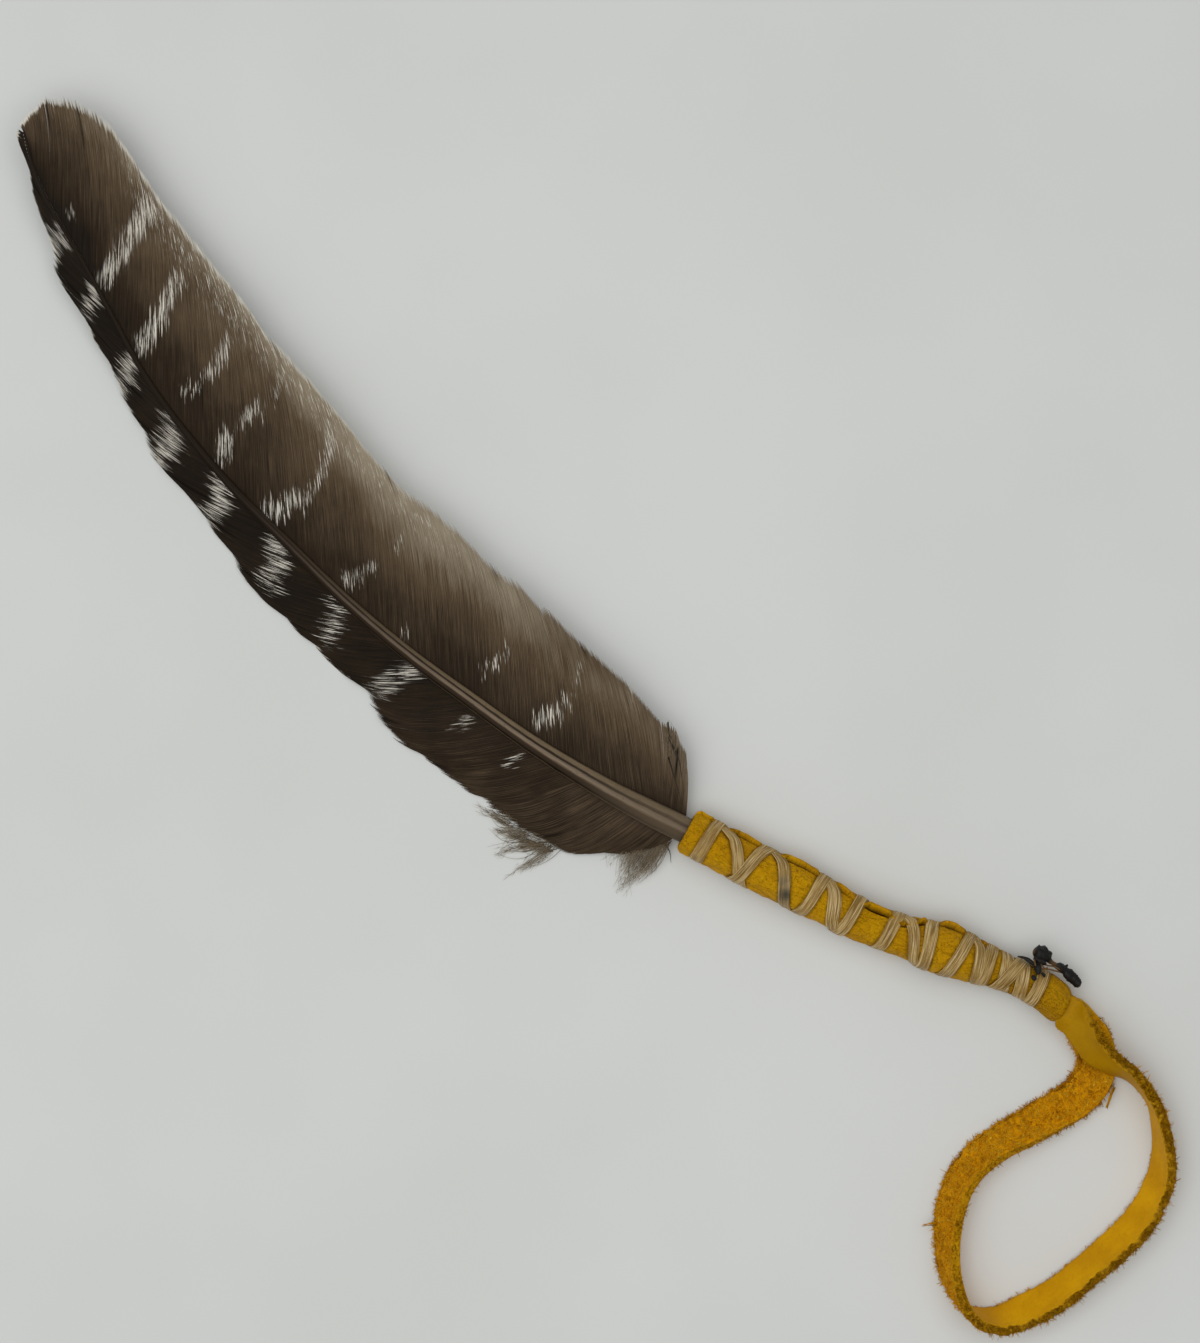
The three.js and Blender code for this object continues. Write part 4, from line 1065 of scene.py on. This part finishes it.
def sinew_strands(lines):
    """The flat strands, laid over each other where they cross."""
    shapes, runs = [], []
    across = np.linspace(-1, 1, STRAND_RIBS)
    for number, ((x, angle), lift) in enumerate(zip(lines, stacked(lines))):
        base = STRAND_LIFT + lift
        middle = grip_point(x, angle, base + overlap(x, angle))
        along = unit(np.gradient(middle, axis=0))
        out = unit(grip_point(x, angle, base + 1) - grip_point(x, angle, base))
        wide = unit(np.cross(along, out))
        t = np.arange(len(x))
        width = STRAND_WIDTH / 2 * (1 + 0.12 * wander(t, 0.05, 11 + number))
        at, turn = place_on_grip(middle[:, None] + steps(wide, width[:, None] * across))
        ribs = rough(joined(t[:, None] * 0.03, across * 4.5, number * 9.0), 1, 8)
        crown = STRAND_THICK * (1 - 0.75 * np.abs(across) ** 5) * (1 + 0.3 * ribs)
        laid = base[:, None] + overlap(at, turn) * 0.8
        top = grip_point(at, turn, laid + np.maximum(crown, 0.08))
        under = grip_point(at, turn, laid - 0.12)
        rings = np.concatenate([top, under[:, ::-1]], 1)
        hold_above(rings, STRAND_FLOOR)
        shapes.append(tube(rings))
        both = np.concatenate([across, across[::-1]])
        runs.append(joined(t[:, None] * 0.8, both * 1.5, number * 40.0).reshape(-1, 3))
    vertices, faces = gathered(shapes)
    spots = seen(vertices)
    stain = np.zeros(len(vertices))
    for x, y, size, strength in STAINS:
        gap = np.linalg.norm(spots - (x, y), axis=1)
        stain = np.maximum(stain, strength * bell(gap, 0, size))
    piece(
        "sinew_strands", (vertices, faces), sinew_material(), "sinew", ["sinew_lacing"],
        stain=stain * (vertices[:, 2] > 6),  # only on the upper side
        run=np.concatenate(runs),
    )


def tube_along(points, radii):
    """Rings of a round tube along points."""
    along = unit(np.gradient(points, axis=0))
    left = left_of(along)
    angle = np.linspace(0, 2 * math.pi, BURNT_SIDES, endpoint=False)
    rings = points[:, None] + steps(left, radii[:, None] * np.cos(angle))
    return rings + steps(np.cross(along, left), radii[:, None] * np.sin(angle))


def burnt_ends():
    """The burnt knot and tail, with the thin threads between them and a few drips."""
    x = np.linspace(BURNT[0][0], BURNT[-1][0], BURNT_STATIONS)
    rows = [np.concatenate([x[:, None], through(BURNT)(x)], 1)]
    rows += [curve(row, DRIP_STATIONS) for row in DRIPS + THREADS]
    shapes, thin = [], []
    for number, row in enumerate(rows):
        thread = number > len(DRIPS)
        middle, radii = row[:, :3], row[:, 3]
        rings = tube_along(middle, radii)
        lump = 1 + (0.1 if thread else 0.22) * rough(rings, 0.8, number)
        lump = lump + 0.1 * rough(rings, 2.2, number + 40)
        shapes.append(tube(middle[:, None] + (rings - middle[:, None]) * lump[..., None]))
        shade = fade(radii, 0.35, 0.8) if number == 0 else np.full(len(row), thread)
        thin.append(np.repeat(shade, BURNT_SIDES))
    piece(
        "burnt_sinew_ends", gathered(shapes), burnt_material(), "burnt_sinew", ["burnt_ends"],
        thin=np.concatenate(thin),
    )


# ---- wrist loop ----------------------------------------------------------------


def strap_section():
    """Points round the strap: across and through it, from -1 to 1, rounded edges."""
    flat = np.linspace(-STRAP_FLAT, STRAP_FLAT, 13)
    bulge = np.radians(np.linspace(60, -60, 5))
    top = [(w, 1) for w in flat[::-1]]
    near = [(-STRAP_FLAT - (1 - STRAP_FLAT) * math.cos(a), math.sin(a)) for a in bulge]
    return np.array(top + near + [(-w, -h) for w, h in top + near])


def strap_frames():
    """The strap's middle line with its across and through directions and its width."""
    rows = np.array(LOOP)
    steps = np.linalg.norm(np.diff(rows[:, :3], axis=0), axis=1)
    run = np.concatenate([[0], np.cumsum(steps)])
    at = through([(s, *row) for s, row in zip(run, LOOP)])
    s = np.linspace(0, run[-1], STRAP_STATIONS)
    x, y, z, roll = np.moveaxis(at(s), -1, 0)
    middle = np.stack([x, y, z], -1)
    along = unit(np.gradient(middle, axis=0))
    left = left_of(along)
    up = np.cross(along, left)
    turn = np.radians(roll)[:, None]
    wide = left * np.cos(turn) + up * np.sin(turn)
    thin = unit(np.cross(along, wide))
    to_end = np.minimum(s, run[-1] - s)
    full = smoothstep(to_end, STRAP_TAIL_LENGTH, STRAP_TAIL_LENGTH + STRAP_SHOULDER)
    width = STRAP_TAIL + (STRAP_WIDTH - STRAP_TAIL) * full
    width = width * (1 + 0.025 * wander(s, 0.25, 21))
    return s, middle, along, wide, thin, width


def wrist_strap():
    """The strip of hide: its smooth side flat, its rough side and cut edges uneven."""
    s, middle, _, wide, thin, width = strap_frames()
    w, h = strap_section().T
    full = STRAP_THICK / 2 * h * (1 + 0.3 * smoothstep(w, 0.5, 1))
    rings = middle[:, None] + steps(wide, width[:, None] / 2 * w) + thin[:, None] * full[:, None]
    suede = smoothstep(-h, 0.3, 0.95)
    cut = smoothstep(np.abs(w), 0.925, 0.94)
    uneven = rough(rings, 0.55, 3) * 0.2 + rough(rings, 2, 6) * 0.14
    later = smoothstep(s / s[-1], *STRAP_TURNS)[:, None]
    edge = rough(rings, 0.35, 9) * 0.3 + rough(rings, 1, 12) * 0.5
    edge = edge * (0.15 + 0.85 * np.where(w > 0, 1 - later, later))
    rings = rings - steps(thin, uneven * np.maximum(suede, 0.12 * (1 - cut)))
    rings = rings + steps(wide, edge * cut * np.sign(w))
    hold_above(rings, STRAP_FLOOR)
    aged = smoothstep(np.minimum(s, s[-1] - s), 20, 34)[:, None]
    piece(
        "wrist_strap", tube(rings), strap_material(), "strap_hide", ["leather_loop"],
        rings.shape[:2],
        suede=suede * (0.3 + 0.7 * aged),
        cut=cut * np.where(w > 0, (1 - 0.5 * later) * (0.3 + 0.7 * aged), 0.25 * aged),
        # Painted shade near the grip end of the strap.
        soiled=0.5 * fade(s, 30, 50)[:, None],
        run=joined(s[:, None], w * STRAP_WIDTH / 2, 0.0),
    )


def strap_fuzz():
    """Loose fibres that stand up from the rough side and the cut edges."""
    s, middle, along, wide, thin, width = strap_frames()
    first = int(np.searchsorted(s, FUZZ_FROM))
    tuft = rng.integers(0, FUZZ_TUFTS, FUZZ)
    centre = rng.uniform(first, len(s) - first, FUZZ_TUFTS)[tuft]
    station = np.clip(centre + rng.normal(0, 1, FUZZ), first, len(s) - first).astype(int)
    on_edge = rng.random(FUZZ) < 0.7
    later = smoothstep(station / len(s), *STRAP_TURNS)
    side = np.where(rng.random(FUZZ) < 0.12 + 0.76 * later, -1.0, 1.0)
    w = np.where(on_edge, side, rng.uniform(-0.97, 0.97, FUZZ))
    h = np.where(on_edge, rng.uniform(-1.2, 1, FUZZ), -1.0)
    foot = (
        middle[station]
        + wide[station] * (width[station] / 2 * w * 0.97)[:, None]
        + thin[station] * (STRAP_THICK / 2 * h * 0.93)[:, None]
    )
    out = np.where(on_edge[:, None], wide[station] * side[:, None], -thin[station])
    loose = rng.normal(0, 1, (FUZZ, 3))
    swept = rng.normal(0, 0.8, FUZZ_TUFTS)[tuft] + rng.normal(0, 0.3, FUZZ)
    lean = unit(out * 0.8 + along[station] * swept[:, None] + loose * 0.35)
    length = rng.exponential(0.28, FUZZ_TUFTS)[tuft] + rng.exponential(0.2, FUZZ) + 0.45
    length = np.clip(length, 0.45, 2.2)
    q = np.linspace(0, 1, FUZZ_STATIONS)
    curl = unit(np.cross(lean, loose)) * (length * rng.normal(0, 0.3, FUZZ))[:, None]
    paths = foot[:, None] + steps(lean, length[:, None] * q) + curl[:, None] * (q**2)[:, None]
    for lock, (*start, count) in zip(np.split(paths, len(LOCKS)), LOCKS):
        ends = np.array(start).reshape(1, 2, 3) + rng.normal(0, 0.22, (count, 2, 3))
        lock[:count] = ends[:, :1] + (ends[:, 1:] - ends[:, :1]) * q[:, None]
        lock[:count, 1, :2] += rng.normal(0, 0.15, (count, 2))
    hold_above(paths, FUZZ_FLOOR)
    aside = unit(np.cross(np.gradient(paths, axis=1), loose[:, None]))
    thick = rng.uniform(0.07, 0.16, FUZZ)[:, None] * (1 - 0.6 * q)
    cut = np.repeat(on_edge * (side > 0) * rng.uniform(0.3, 1, FUZZ), FUZZ_STATIONS * 3)
    shape = fibres(paths, aside, thick, thick)
    piece("strap_fuzz", shape, fuzz_material(), "strap_hide", ["leather_loop"], cut=cut)


# ---- sheet, lights and camera --------------------------------------------------


def sheet_material():
    s = Shade("pale_sheet", 0.15)
    grain = s.noise(s.place(900), 4)
    colour = s.over((222, 223, 219), (227, 228, 225), s.noise(s.place(9), 3), 0.3, 0.7)
    return s.finish(colour, s.span(grain, 0.3, 0.7, 0.6, 0.75), s.bump(grain, 0.02))


def studio():
    """A pale sheet, a wide soft light overhead and a weaker one from the near side."""
    corners = [(-1, -1), (1, -1), (1, 1), (-1, 1)]
    mesh = bpy.data.meshes.new("pale_sheet")
    mesh.from_pydata([(x * SHEET_HALF, y * SHEET_HALF, 0) for x, y in corners], [], [(0, 1, 2, 3)])
    mesh.materials.append(sheet_material())
    sheet = put("pale_sheet", mesh)
    for name, place, size, power in LAMPS:
        data = bpy.data.lights.new(name, "AREA")
        data.shape = "DISK"
        data.size = size
        data.energy = power
        made = put(name, data)
        made.location = place
        aim = Vector(LAMPS_AIM) - Vector(place)
        made.rotation_euler = aim.to_track_quat("-Z", "Y").to_euler()
    world = bpy.data.worlds.new("room")
    world.use_nodes = True
    background = world.node_tree.nodes["Background"]
    background.inputs["Color"].default_value = ROOM_COLOUR
    background.inputs["Strength"].default_value = ROOM_LIGHT
    bpy.context.scene.world = world
    bpy.context.scene.view_settings.view_transform = "Standard"


def camera():
    data = bpy.data.cameras.new("above")
    data.lens = CAMERA_LENS
    data.sensor_width = 36
    made = put("above", data)
    made.location = Vector(CAMERA_AT) * MM
    made.rotation_euler = (0, 0, math.radians(CAMERA_TURN))
    bpy.context.scene.camera = made


camera()
studio()
feather_shaft()
vane("broad_vane", BROAD_VANE, BROAD_EDGE, BROAD_HOOK, BROAD_MARKS, BROAD_SPLITS, 1,
     BROAD_BARBS, broad_tone, through(BROAD_RIM))
vane("narrow_vane", NARROW_VANE, NARROW_EDGE, NARROW_HOOK, NARROW_MARKS, NARROW_SPLITS, -1,
     NARROW_BARBS, narrow_tone, through(NARROW_RIM))
downy_barbs()
strands = [strand_line(STRAND_OUT), strand_line(STRAND_BACK)]
leather_wrap(strands)
sinew_strands(strands)
burnt_ends()
wrist_strap()
strap_fuzz()
